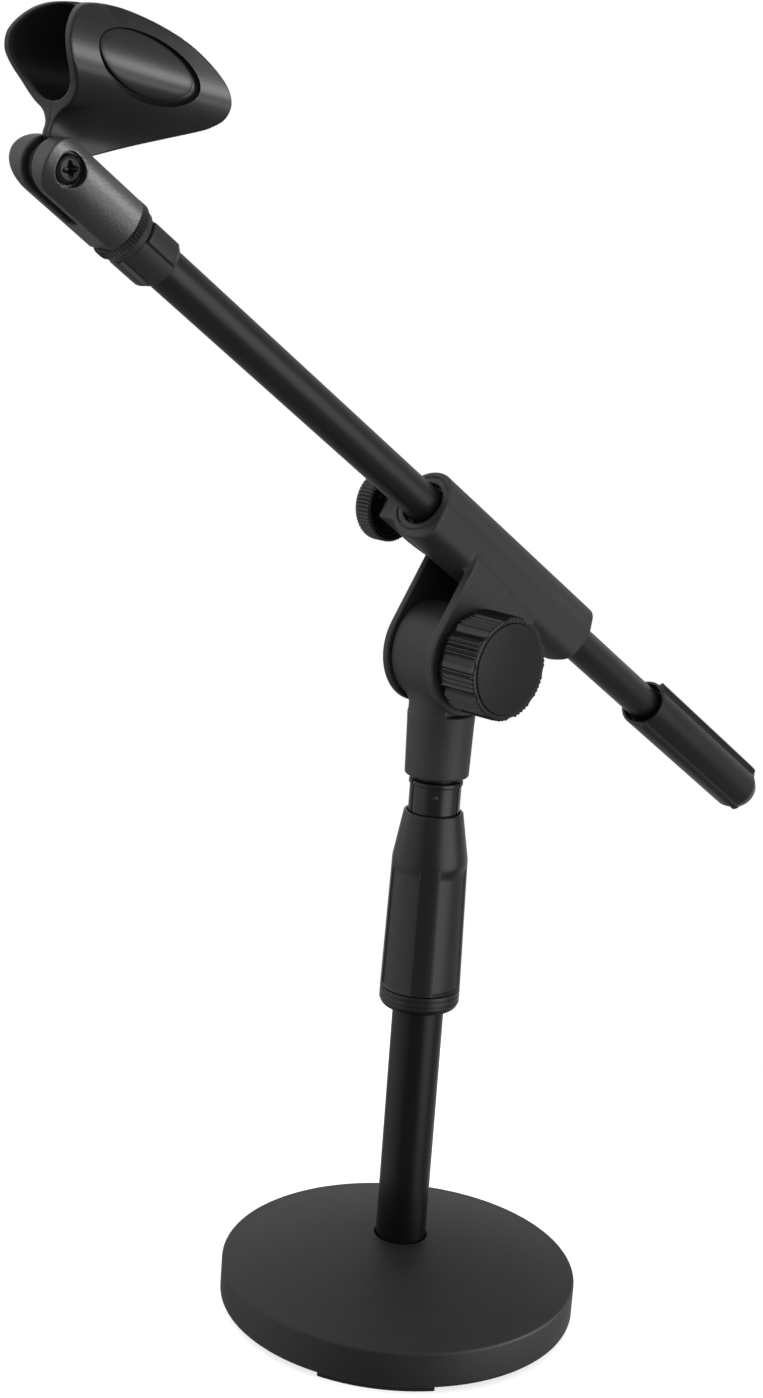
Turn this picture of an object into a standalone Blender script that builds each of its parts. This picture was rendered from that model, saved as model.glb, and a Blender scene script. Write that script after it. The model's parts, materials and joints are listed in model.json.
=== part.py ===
"""Desktop microphone stand: a weighted round base, a short telescopic column with a twist clutch,
a tilting boom with an end grip, and a spring-jaw microphone clip on a swivel adapter.

Sizes below are millimetres and degrees; meshes are made in metres through MM. +Z is up, the base
rests on Z = 0 around the origin, and the boom lies in the XZ plane with its clip end towards -X.
"""

import math

import bmesh
import bpy
from mathutils import Matrix, Vector

MM = 0.001
GAP = 0.3

# Base
BASE_R = 70.0
PAD_H = 2.2
BASE_LOW = PAD_H + GAP
BASE_RIM = 16.9
BASE_TOP = 29.5
FOOT_PADS = 3
FOOT_PAD_INNER, FOOT_PAD_OUTER = 54.0, 67.5
FOOT_PAD_HALF_ANGLE = 19.0
FIRST_PAD_ANGLE = -141.0

# Column
TUBE_R, TUBE_WALL = 9.9, 1.2
TUBE_LOW, TUBE_TOP = 17.6, 172.0
POST_R, POST_WALL = 8.0, 1.1
POST_LOW, POST_TOP = 60.0, 240.0
BOLT_R = 5.0

# Twist clutch
CLUTCH_R_LOW, CLUTCH_R_HIGH, CLUTCH_R_NOSE = 15.4, 14.4, 11.3
CLUTCH_RING_LOW, CLUTCH_LOW = 126.0, 133.6
CLUTCH_CONE, CLUTCH_TOP = 185.0, 203.3
CLUTCH_PANELS = 4
CLUTCH_PANEL_TURN = 1.0
COLLET_R, COLLET_LIP_R, COLLET_TOP = 9.8, 10.3, 215.8
COLLET_SLITS, COLLET_SLIT_TURN = 3, 45.0

# Head
NECK_R, NECK_LOW = 12.4, 217.5
PIVOT_Z = 264.2
HUB_R, HUB_HALF = 19.0, 10.0
CHEEK_R, CHEEK_INNER, CHEEK_OUTER = 21.0, 10.3, 13.4
PIVOT_BOLT_R = 4.0
WASHER_R = 11.8

# Boom: distances "s" run along the boom from the foot of the pivot's perpendicular, up towards the clip
BOOM_TILT = 32.54
BOOM_OFFSET = 38.0
BOOM_R, BOOM_WALL = 7.05, 1.1
BOOM_LOW, BOOM_HIGH = -198.0, 206.5
SLEEVE_R, SLEEVE_NEAR, SLEEVE_LOW, SLEEVE_HIGH = 13.0, 12.3, -54.0, 46.0
SLEEVE_BORE = BOOM_R + GAP
BOSS_FAR, BOSS_HALF = 18.2, 8.6
GRIP_LOW, GRIP_HIGH, GRIP_R, GRIP_RIB = -208.0, -118.0, 10.0, 11.7
COLLAR_LOW, COLLAR_HIGH, COLLAR_R, COLLAR_LUG = 192.0, 207.0, 8.5, 9.8
LOCK_LOW, LOCK_HIGH, LOCK_R = 207.6, 213.0, 10.5
STUD_R, STUD_HIGH = 7.9, 221.5

# Knobs
KNOB_R, KNOB_FRONT, KNOB_BACK, KNOB_SCALLOPS = 19.2, 32.4, 15.2, 10
CLAMP_KNOB_R, CLAMP_KNOB_LOW, CLAMP_KNOB_HIGH, CLAMP_KNOB_TEETH = 13.3, 21.5, 29.5, 20
CLAMP_S = 37.5
CLAMP_SCREW_R = 3.0

# Clip adapter and clip
ADAPTER_TURN = -4.0
ADAPTER_LOW, ADAPTER_R, ADAPTER_HALF = 213.6, 10.8, 9.0
EAR_S, SLOT_LOW, SLOT_HALF = 242.3, 225.5, 2.9
CLIP_TILT = 19.5
CLIP_SCREW_R = 1.9
HEAD_RECESS_R, HEAD_RECESS_FLOOR = 5.3, 7.6
CLIP_WALL, CLIP_OPENING = 3.4, 4.4
CLIP_BACK, CLIP_NOSE = -18.0, 50.0
LUG_R, LUG_HALF = 7.2, 2.5


def clear_scene():
    for thing in list(bpy.data.objects):
        bpy.data.objects.remove(thing, do_unlink=True)


def look(name, colour, roughness, metallic=0.0):
    """A Principled material with one colour."""
    made = bpy.data.materials.new(name)
    made.use_nodes = True
    shader = made.node_tree.nodes["Principled BSDF"]
    shader.inputs["Base Color"].default_value = (*colour, 1.0)
    shader.inputs["Roughness"].default_value = roughness
    shader.inputs["Metallic"].default_value = metallic
    return made


def axis_empty(name, origin, x_axis, z_axis):
    """An empty at origin (mm) whose Z runs along a joint or part axis; pieces are parented to it."""
    x, z = Vector(x_axis).normalized(), Vector(z_axis).normalized()
    y = z.cross(x)
    empty = bpy.data.objects.new(name, None)
    empty.matrix_world = Matrix.Translation(Vector(origin) * MM) @ Matrix((x, y, z)).transposed().to_4x4()
    bpy.context.scene.collection.objects.link(empty)
    return empty


def to_object(bm, name, frame, finish=None, smooth=32.0):
    """Turns a bmesh into an object in the frame's coordinates, with its faces pointing out."""
    bmesh.ops.remove_doubles(bm, verts=bm.verts, dist=1e-6)
    bmesh.ops.recalc_face_normals(bm, faces=bm.faces)
    mesh = bpy.data.meshes.new(name)
    bm.to_mesh(mesh)
    bm.free()
    mesh.shade_smooth()
    mesh.set_sharp_from_angle(angle=math.radians(smooth))
    obj = bpy.data.objects.new(name, mesh)
    if finish:
        mesh.materials.append(finish)
    bpy.context.scene.collection.objects.link(obj)
    obj.parent = frame
    return obj


def turned(name, outline, frame, finish=None, steps=28):
    """A solid turned about the frame's Z from (radius, height) points; it is a ring unless it ends on the axis."""
    bm = bmesh.new()
    ring = [bm.verts.new((r * MM, 0.0, h * MM)) for r, h in outline]
    pairs = list(zip(ring, ring[1:]))
    if min(r for r, _ in outline) > 0:
        pairs.append((ring[-1], ring[0]))
    edges = [bm.edges.new(pair) for pair in pairs]
    bmesh.ops.spin(bm, geom=ring + edges, cent=(0, 0, 0), axis=(0, 0, 1), angle=2 * math.pi, steps=steps)
    return to_object(bm, name, frame, finish)


def loft(name, rings, frame, finish=None):
    """A closed skin through rings of (x, y, z) points, with a flat face over each end."""
    bm = bmesh.new()
    made = [[bm.verts.new(Vector(point) * MM) for point in ring] for ring in rings]
    for low, high in zip(made, made[1:]):
        for i, corner in enumerate(low):
            after = (i + 1) % len(low)
            bm.faces.new((corner, low[after], high[after], high[i]))
    bm.faces.new(made[0])
    bm.faces.new(made[-1])
    return to_object(bm, name, frame, finish)


def prism(name, outline, low, high, frame, finish=None, along="Z"):
    """An extruded outline. Along Z its points are (x, y); along Y they are (x, z)."""
    def point(a, b, height):
        return (a, b, height) if along == "Z" else (a, height, b)

    return loft(name, [[point(a, b, height) for a, b in outline] for height in (low, high)], frame, finish)


def arc(centre, radius, start, end, steps):
    """Points on an arc, in degrees, both ends included."""
    angles = [math.radians(start + (end - start) * i / steps) for i in range(steps + 1)]
    return [(centre[0] + radius * math.cos(a), centre[1] + radius * math.sin(a)) for a in angles]


def boolean(target, tool, operation):
    """Cuts or joins a helper solid; the helper itself is left out of the model."""
    step = target.modifiers.new(tool.name, "BOOLEAN")
    step.operation = operation
    step.object = tool
    step.solver = "EXACT"
    tool.hide_render = True
    tool.display_type = "WIRE"


def cut(target, *tools):
    for tool in tools:
        boolean(target, tool, "DIFFERENCE")


def join(target, *tools):
    for tool in tools:
        boolean(target, tool, "UNION")


def ring(inner, outer, low, high, chamfer=0.0):
    """Outline of a plain ring, with its outer corners chamfered."""
    c = chamfer
    corners = [(outer - c, low), (outer, low + c), (outer, high - c), (outer - c, high)]
    if c == 0.0:
        corners = [(outer, low), (outer, high)]
    return [(inner, low), *corners, (inner, high)]


def rod(radius, low, high, chamfer=0.4):
    """Outline of a solid round bar."""
    c = chamfer
    return [(0, low), (radius - c, low), (radius, low + c), (radius, high - c), (radius - c, high),
            (0, high)]


def regular(sides, radius, turn=0.0):
    """Corners of a regular polygon, as for a hexagonal head."""
    return [
        (radius * math.cos(math.radians(turn + 360 * i / sides)),
         radius * math.sin(math.radians(turn + 360 * i / sides)))
        for i in range(sides)
    ]


def toothed(radius, depth, teeth, share=0.5):
    """Outline of a coarse knurl: flat-topped ribs around a rim."""
    points = []
    for i in range(teeth):
        for part, r in ((0.0, radius), (share, radius), (share + 0.12, radius - depth),
                        (0.88, radius - depth)):
            a = 2 * math.pi * (i + part) / teeth
            points.append((r * math.cos(a), r * math.sin(a)))
    return points


def make_looks():
    return {
        "cast": look("powder_coated_cast_iron", (0.022, 0.022, 0.023), 0.55),
        "tube": look("black_tube", (0.010, 0.010, 0.011), 0.30, 0.4),
        "moulded": look("moulded_black_nylon", (0.024, 0.024, 0.026), 0.48),
        "knob": look("knob_black", (0.016, 0.016, 0.018), 0.32),
        "rubber": look("black_rubber", (0.015, 0.015, 0.015), 0.85),
        "steel": look("zinc_steel", (0.55, 0.55, 0.53), 0.35, 1.0),
        "black_steel": look("blackened_steel", (0.03, 0.03, 0.032), 0.25, 1.0),
        "brass": look("brass", (0.75, 0.55, 0.22), 0.3, 1.0),
        "acetal": look("acetal_bush", (0.55, 0.55, 0.52), 0.4),
        "clip": look("clip_rubberised", (0.030, 0.030, 0.032), 0.42),
    }


def make_base(frame, looks):
    """Cast weight with a socket for the column, three curved pads, a centre pad, and the fixing bolt."""
    edge = 1.2
    socket_r, socket_floor, recess_r, recess_top = TUBE_R + GAP, TUBE_LOW - GAP, 15.0, 11.0
    dome = []
    dome_steps = 6
    for i in range(dome_steps + 1):
        r = BASE_R - edge + (socket_r - BASE_R + edge) * i / dome_steps
        rise = 1 - ((r - socket_r) / (BASE_R - edge - socket_r)) ** 1.5
        dome.append((r, BASE_RIM + (BASE_TOP - BASE_RIM) * rise))
    outline = [
        (recess_r, BASE_LOW), (BASE_R - edge, BASE_LOW), (BASE_R, BASE_LOW + edge),
        (BASE_R, BASE_RIM - edge),
        *dome,
        (socket_r, socket_floor), (BOLT_R + GAP, socket_floor), (BOLT_R + GAP, recess_top),
        (recess_r, recess_top),
    ]
    turned("base_weight", outline, frame, looks["cast"], steps=44)
    for i in range(FOOT_PADS):
        middle = FIRST_PAD_ANGLE + 360 * i / FOOT_PADS
        low, high = middle - FOOT_PAD_HALF_ANGLE, middle + FOOT_PAD_HALF_ANGLE
        outline = arc((0, 0), FOOT_PAD_OUTER, low, high, 8) + arc((0, 0), FOOT_PAD_INNER, high, low, 8)
        prism(f"foot_pad_{i + 1}", outline, 0.0, PAD_H, frame, looks["rubber"])
    turned("centre_pad", rod(22.0, 0.0, PAD_H), frame, looks["rubber"])
    turned("base_washer", ring(BOLT_R + GAP, 12.5, 9.2, 10.7), frame, looks["steel"], steps=24)
    bolt = turned("base_bolt", rod(BOLT_R, 6.0, 36.0), frame, looks["steel"], steps=24)
    join(bolt, prism("base_bolt_head", regular(6, 9.2), 3.4, 8.9, frame))
    turned("tube_foot_insert", ring(BOLT_R + GAP, TUBE_R - TUBE_WALL - GAP, 18.2, 40.0), frame,
           looks["steel"], steps=24)


def make_column(frame, looks):
    """Outer tube with the threaded collar and split collet that grip the sliding post."""
    turned("outer_tube", ring(TUBE_R - TUBE_WALL, TUBE_R, TUBE_LOW, TUBE_TOP, 0.3), frame, looks["tube"])
    turned("clutch_thread_collar", ring(TUBE_R + GAP, 12.2, 142.0, TUBE_TOP, 0.5), frame, looks["moulded"])
    bore = POST_R + GAP
    outline = [
        (bore, 173.0), (11.6, 173.0), (11.6, 176.0), (10.4, 179.0), (10.4, 190.0), (COLLET_R, 196.0),
        (COLLET_R, COLLET_TOP - 1.8), (COLLET_LIP_R, COLLET_TOP - 1.3), (COLLET_LIP_R, COLLET_TOP - 0.4),
        (COLLET_LIP_R - 0.4, COLLET_TOP), (bore, COLLET_TOP),
    ]
    collet = turned("clutch_collet", outline, frame, looks["knob"], steps=24)
    slit_half = 0.45
    for i in range(COLLET_SLITS):
        turn = math.radians(COLLET_SLIT_TURN + 360 * i / COLLET_SLITS)
        along, across = (math.cos(turn), math.sin(turn)), (-math.sin(turn) * slit_half,
                                                           math.cos(turn) * slit_half)
        corners = [
            (along[0] * reach + across[0] * side, along[1] * reach + across[1] * side)
            for reach, side in ((6, -1), (13, -1), (13, 1), (6, 1))
        ]
        cut(collet, prism(f"collet_slit_{i + 1}", corners, 180.0, 220.0, frame))


def make_clutch(frame, looks):
    """Twist grip that squeezes the collet, and the ring that closes its lower end."""
    ring_outline = [
        (TUBE_R + GAP, CLUTCH_RING_LOW), (14.4, CLUTCH_RING_LOW), (15.1, CLUTCH_RING_LOW + 0.8),
        (CLUTCH_R_LOW, CLUTCH_RING_LOW + 2.4), (CLUTCH_R_LOW, CLUTCH_LOW - GAP),
        (TUBE_R + GAP, CLUTCH_LOW - GAP),
    ]
    turned("clutch_end_ring", ring_outline, frame, looks["moulded"])
    collar_room, nose_bore, seat_r = 12.5, COLLET_R + GAP, 11.9
    outline = [
        (collar_room, CLUTCH_LOW), (CLUTCH_R_LOW, CLUTCH_LOW), (CLUTCH_R_HIGH, CLUTCH_CONE),
        (CLUTCH_R_HIGH - 0.9, CLUTCH_CONE + 6.5), (CLUTCH_R_NOSE, CLUTCH_TOP - 0.6),
        (CLUTCH_R_NOSE - 0.5, CLUTCH_TOP),
        (nose_bore, CLUTCH_TOP), (nose_bore, 196.5), (10.7, 190.5), (10.7, 179.5), (seat_r, 176.5),
        (seat_r, TUBE_TOP + 0.5),
        (collar_room, TUBE_TOP + 0.4),
    ]
    grip = turned("clutch_grip", outline, frame, looks["moulded"], steps=36)
    panel_depth, panel_half, panel_top = 0.9, 8.0, 180.0
    face = CLUTCH_R_LOW - panel_depth
    for i in range(CLUTCH_PANELS):
        turn = math.radians(CLUTCH_PANEL_TURN + 360 * i / CLUTCH_PANELS)
        out, side = (math.cos(turn), math.sin(turn)), (-math.sin(turn), math.cos(turn))
        corners = [
            (out[0] * r + side[0] * w, out[1] * r + side[1] * w)
            for r, w in ((face - 0.9, -panel_half), (face + 4, -panel_half), (face + 4, panel_half),
                         (face - 0.9, panel_half))
        ]
        cut(grip, prism(f"clutch_panel_{i + 1}", corners, CLUTCH_LOW + 3.5, panel_top, frame))


def make_post(frame, looks):
    """Sliding post and its glide bush."""
    turned("inner_tube", ring(POST_R - POST_WALL, POST_R, POST_LOW, POST_TOP, 0.3), frame, looks["tube"])
    bush_r = TUBE_R - TUBE_WALL - GAP
    outline = [
        (4.0, 44.0), (bush_r - 0.5, 44.0), (bush_r, 44.6), (bush_r, POST_LOW - GAP),
        (POST_R - POST_WALL - GAP, POST_LOW - GAP),
        (POST_R - POST_WALL - GAP, 76.0), (4.0, 76.0),
    ]
    turned("tube_glide", outline, frame, looks["acetal"], steps=24)


def make_hub(column, pivot, looks):
    """Neck socket and round tilt hub, with a recess in each face for a friction washer."""
    neck_top = PIVOT_Z - CHEEK_R - 1.0
    outline = [
        (0, NECK_LOW), (NECK_R - 1.2, NECK_LOW), (NECK_R - 0.3, NECK_LOW + 0.5), (NECK_R, NECK_LOW + 1.6),
        (NECK_R + 0.4, neck_top), (0, neck_top),
    ]
    hub = turned("swivel_hub", outline, column, looks["moulded"])
    web_half = HUB_HALF - 0.1
    web = [(x, max(-web_half, min(web_half, y))) for x, y in arc((0, 0), NECK_R - 0.4, 0, 360, 28)[:-1]]
    join(
        hub,
        turned("hub_drum", rod(HUB_R, -HUB_HALF, HUB_HALF, 0.5), pivot, steps=36),
        prism("hub_web", web, neck_top - 3.0, 254.0, column),
    )
    seat, seat_r, hole_r, reach = HUB_HALF - 0.9, WASHER_R + GAP, PIVOT_BOLT_R + GAP, HUB_HALF + 5.0
    pivot_bore = [
        (0, -reach), (seat_r, -reach), (seat_r, -seat), (hole_r, -seat), (hole_r, seat), (seat_r, seat),
        (seat_r, reach), (0, reach),
    ]
    grub_frame = axis_empty("grub_screw_axis", (0, 0, 229.0), (1, 0, 0), (0, 1, 0))
    cut(
        hub,
        turned("post_socket", rod(POST_R + GAP, NECK_LOW - 5, POST_TOP + 1.0, 0.0), column),
        turned("grub_hole", rod(2.8, 5, 16, 0.0), grub_frame, steps=16),
        turned("pivot_bore", pivot_bore, pivot, steps=24),
    )
    grub = turned("neck_grub_screw", rod(2.5, POST_R + GAP, NECK_R - 0.4, 0.3), grub_frame,
                  looks["black_steel"], steps=16)
    cut(grub, prism("grub_socket", regular(6, 1.3), 10.0, 14.0, grub_frame))
    for side, name in ((1, "friction_washer_near"), (-1, "friction_washer_far")):
        low = HUB_HALF - 0.6 if side > 0 else -HUB_HALF
        turned(name, ring(PIVOT_BOLT_R + GAP, WASHER_R, low, low + 0.6), pivot, looks["acetal"])


def sleeve_outline(radius, near, steps=28):
    """The boom sleeve's section, (n, y) about the boom axis: a circle with its near side flattened."""
    points = []
    for n, y in arc((0, 0), radius, 0, 360, steps)[:-1]:
        points.append((n, max(y, -near)))
    return points


def make_clamp(frame, looks):
    """Boom clamp: sleeve with a thumb screw boss, and two cheeks that straddle the hub.

    The frame sits on the tilt axis with X up from the pivot to the boom, Y to the far side and
    Z along the boom."""
    h, c = BOOM_OFFSET, 1.0

    def section(s, radius, near):
        return [(h + n, y, s) for n, y in sleeve_outline(radius, near)]

    rings = [
        section(SLEEVE_LOW, SLEEVE_R - c, SLEEVE_NEAR - c), section(SLEEVE_LOW + c, SLEEVE_R, SLEEVE_NEAR),
        section(SLEEVE_HIGH - c, SLEEVE_R - 0.2, SLEEVE_NEAR),
        section(SLEEVE_HIGH, SLEEVE_R - c - 0.4, SLEEVE_NEAR - c),
    ]
    clamp = loft("boom_clamp", rings, frame, looks["moulded"])
    low_side, high_side = h - BOSS_HALF, h + BOSS_HALF
    boss = [(0.0, SLEEVE_HIGH), (BOSS_FAR, SLEEVE_HIGH), (BOSS_FAR, 26.0), (13.0, 4.0), (0.0, 4.0)]
    join(clamp, loft("thumb_boss", [[(n, y, s) for y, s in boss] for n in (low_side, high_side)], frame))
    bridge_low, bridge_high, bridge_half, bridge_reach = 20.6, 32.0, CHEEK_INNER + 1.2, 14.0
    bridge = [(bridge_low, -bridge_reach), (bridge_low, bridge_reach), (bridge_high, bridge_reach),
              (bridge_high, -bridge_reach)]
    join(clamp, loft("cheek_bridge", [[(n, y, s) for n, s in bridge] for y in (-bridge_half, bridge_half)],
                     frame))
    for side, name in ((-1, "near"), (1, "far")):
        radius = CHEEK_R if side < 0 else CHEEK_R - 0.4
        outline = arc((0, 0), radius, 90, 270, 18) + [(27.0, 0.8 - radius), (30.4, radius - 0.6)]
        rim = [(n * 0.965, s * 0.965) for n, s in outline]
        levels = [(CHEEK_INNER, outline), (CHEEK_OUTER - 0.8, outline), (CHEEK_OUTER, rim)]
        join(clamp, loft(f"{name}_cheek", [[(n, side * y, s) for n, s in points] for y, points in levels],
                         frame))
    bore_frame = axis_empty("sleeve_bore_axis", frame.matrix_world @ Vector((h * MM, 0, 0)) / MM, BOOM_UP,
                            BOOM_DIR)
    bolt_frame = axis_empty("cheek_bore_axis", (0, 0, PIVOT_Z), (1, 0, 0), (0, -1, 0))
    screw_frame = axis_empty("screw_bore_axis", frame.matrix_world @ Vector((h * MM, 0, CLAMP_S * MM)) / MM,
                             (1, 0, 0), (0, 1, 0))
    tail_r, tail_end, mouth_r, mouth_start = SLEEVE_BORE + 1.0, SLEEVE_LOW + 2.0, SLEEVE_BORE + 1.6, SLEEVE_HIGH - 3.5
    bore = [
        (0, -80), (tail_r, -80), (tail_r, tail_end), (SLEEVE_BORE, tail_end), (SLEEVE_BORE, mouth_start),
        (mouth_r, mouth_start), (mouth_r, 80), (0, 80),
    ]
    cut(
        clamp,
        turned("sleeve_bore", bore, bore_frame),
        turned("cheek_bolt_hole", rod(PIVOT_BOLT_R + GAP, -20, 20, 0.0), bolt_frame, steps=24),
        turned("screw_hole", rod(CLAMP_SCREW_R + GAP, 4, 25, 0.0), screw_frame, steps=20),
    )


def make_pivot_hardware(frame, looks):
    """Bolt through the cheeks, washers and the big knob. The frame's Z runs out to the knob's side."""
    shank = turned("pivot_bolt", rod(PIVOT_BOLT_R, -16.0, 29.0), frame, looks["steel"], steps=24)
    join(shank, prism("pivot_bolt_head", regular(6, 7.5), -19.6, -CHEEK_OUTER - GAP - 1.5, frame))
    washer = ring(PIVOT_BOLT_R + GAP, 9.0, 0.0, 1.2)
    turned("pivot_washer_far", [(r, z - CHEEK_OUTER - GAP - 1.2) for r, z in washer], frame, looks["steel"],
           steps=24)
    turned("pivot_washer_near", [(r, z + CHEEK_OUTER + GAP) for r, z in washer], frame, looks["steel"],
           steps=24)


def knob_outline(radius, scallops):
    """Rim of the big knob: raised bands between shallow scallops."""
    points = []
    steps = 6
    for i in range(scallops):
        for j in range(steps):
            part = j / steps
            dip = 0.9 * math.sin(math.pi * (part - 0.5) / 0.5) ** 2 if part > 0.5 else 0.0
            a = 2 * math.pi * (i + part) / scallops
            points.append(((radius - dip) * math.cos(a), (radius - dip) * math.sin(a)))
    return points


def make_tilt_knob(frame, looks):
    """Cup-shaped knob with a pressed-in brass nut and a flat cap over its face."""
    outline = knob_outline(KNOB_R, KNOB_SCALLOPS)

    def level(height, inset):
        scale = (KNOB_R - inset) / KNOB_R
        return [(x * scale, y * scale, height) for x, y in outline]

    rings = [level(KNOB_BACK, 0.8), level(KNOB_BACK + 0.8, 0.0), level(KNOB_FRONT - 1.2, 0.0),
             level(KNOB_FRONT - 0.2, 0.9)]
    knob = loft("tilt_knob", rings, frame, looks["knob"])
    cap_r, cap_seat, nut_r, nut_low = 16.6, KNOB_FRONT - 1.6, 6.5, KNOB_BACK + 1.0
    hollow = [(8.2, KNOB_BACK - 2), (16.2, KNOB_BACK - 2), (16.2, 26.0), (8.2, 26.0)]
    cut(
        knob,
        turned("knob_face", rod(cap_r + 0.25, cap_seat, KNOB_FRONT + 3, 0.0), frame, steps=40),
        turned("knob_hollow", hollow, frame),
        prism("knob_nut_seat", regular(6, nut_r + GAP), KNOB_BACK - 2, 27.0, frame),
        turned("knob_bolt_room", rod(PIVOT_BOLT_R + 0.5, 20, 29.6, 0.0), frame, steps=24),
    )
    nut = prism("tilt_knob_nut", regular(6, nut_r), nut_low, 26.7, frame, looks["brass"])
    cut(nut, turned("knob_nut_thread", rod(PIVOT_BOLT_R + GAP, 0, 35, 0.0), frame, steps=24))
    cap = [(0, cap_seat + GAP), (cap_r, cap_seat + GAP), (cap_r, KNOB_FRONT - 0.3),
           (cap_r - 0.4, KNOB_FRONT), (0, KNOB_FRONT)]
    turned("tilt_knob_cap", cap, frame, looks["knob"], steps=40)


def make_clamp_screw(frame, looks):
    """Knurled thumb screw that presses a shoe against the boom. The frame's Z points to the far side."""
    teeth = toothed(CLAMP_KNOB_R, 0.5, CLAMP_KNOB_TEETH)
    small = [(x * 0.96, y * 0.96) for x, y in teeth]
    levels = [(CLAMP_KNOB_LOW, small), (CLAMP_KNOB_LOW + 0.8, teeth), (CLAMP_KNOB_HIGH - 0.8, teeth),
              (CLAMP_KNOB_HIGH, small)]
    knob = loft("clamp_knob", [[(x, y, z) for x, y in points] for z, points in levels], frame,
                looks["knob"])
    hub_r, rim_r = 5.5, 11.4
    cut(
        knob,
        turned("clamp_knob_hollow", ring(hub_r, rim_r, CLAMP_KNOB_LOW - 2, CLAMP_KNOB_LOW + 3.5), frame),
        turned("clamp_knob_bore", rod(CLAMP_SCREW_R + GAP, CLAMP_KNOB_LOW - 2, 27.3, 0.0), frame, steps=20),
    )
    turned("clamp_screw", rod(CLAMP_SCREW_R, 10.0, 27.0), frame, looks["steel"], steps=20)
    shoe = [(0, BOOM_R + GAP), (2.6, BOOM_R + GAP), (2.6, 9.6), (0, 9.6)]
    turned("clamp_shoe", [(r, z + 0.25) for r, z in shoe], frame, looks["acetal"], steps=16)


def make_boom(frame, looks):
    """Boom tube with its end grip, end collar and threaded stud. The frame's Z runs along the boom."""
    bore = BOOM_R - BOOM_WALL
    turned("boom_tube", ring(bore, BOOM_R, BOOM_LOW, BOOM_HIGH, 0.3), frame, looks["tube"])
    turned("boom_end_plug", ring(2.0, bore - GAP, BOOM_LOW + 1, BOOM_LOW + 16), frame, looks["steel"],
           steps=24)
    outline = []
    ribs, rib_half, rib_steps, between = 3, 9.0, 2, 8
    for i in range(ribs):
        middle = 90.0 + 360 * i / ribs
        outline += arc((0, 0), GRIP_RIB, middle - rib_half * 0.6, middle + rib_half * 0.6, rib_steps)
        outline += arc((0, 0), GRIP_R, middle + rib_half, middle + 360 / ribs - rib_half, between)
    tapered = [(x * 0.8, y * 0.8) for x, y in outline]
    levels = [(GRIP_LOW, tapered), (GRIP_LOW + 3.0, [(x * 0.96, y * 0.96) for x, y in outline]),
              (GRIP_LOW + 6, outline), (GRIP_HIGH, outline)]
    grip = loft("end_grip", [[(x, y, z) for x, y in points] for z, points in levels], frame,
                looks["moulded"])
    mouth_r, mouth_depth = 8.7, 6.0
    room = [
        (0, BOOM_LOW - 0.6), (BOOM_R + GAP, BOOM_LOW - 0.6), (BOOM_R + GAP, GRIP_HIGH - mouth_depth),
        (mouth_r, GRIP_HIGH - mouth_depth), (mouth_r, GRIP_HIGH + 3), (0, GRIP_HIGH + 3),
    ]
    cut(grip, turned("grip_room", room, frame))
    collar_body = ring(BOOM_R + GAP, COLLAR_R, COLLAR_LOW + 1.2, COLLAR_HIGH)
    collar = turned("boom_end_collar", collar_body, frame, looks["moulded"])
    lugs, lug_half = 3, 25.0
    for i in range(lugs):
        middle = 48.0 + 360 * i / lugs
        inner = arc((0, 0), COLLAR_R - 0.6, middle + lug_half, middle - lug_half, 5)
        outer = arc((0, 0), COLLAR_LUG, middle - lug_half, middle + lug_half, 5)
        low_outer = [(x * 0.9, y * 0.9) for x, y in outer]
        levels = [(COLLAR_LOW, inner + low_outer), (COLLAR_LOW + 2.2, inner + outer),
                  (COLLAR_HIGH - 0.2, inner + outer)]
        join(collar, loft(f"collar_lug_{i + 1}", [[(x, y, z) for x, y in points] for z, points in levels],
                          frame))
    stud = [
        (2.4, COLLAR_LOW - 6), (bore - GAP, COLLAR_LOW - 6), (bore - GAP, BOOM_HIGH + GAP),
        (STUD_R, BOOM_HIGH + GAP + 0.4),
        (STUD_R, STUD_HIGH - 0.6), (STUD_R - 0.6, STUD_HIGH), (2.4, STUD_HIGH),
    ]
    turned("boom_end_stud", stud, frame, looks["steel"], steps=24)


def make_lock_ring(frame, looks):
    """Knurled ring that locks the adapter on its thread."""
    teeth = toothed(LOCK_R, 0.4, 16)
    levels = [(LOCK_LOW, teeth), (LOCK_HIGH, teeth)]
    lock = loft("lock_ring", [[(x, y, z) for x, y in points] for z, points in levels], frame, looks["knob"])
    cut(lock, turned("lock_ring_bore", rod(STUD_R + GAP, LOCK_LOW - 2, LOCK_HIGH + 2, 0.0), frame,
                     steps=24))


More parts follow.
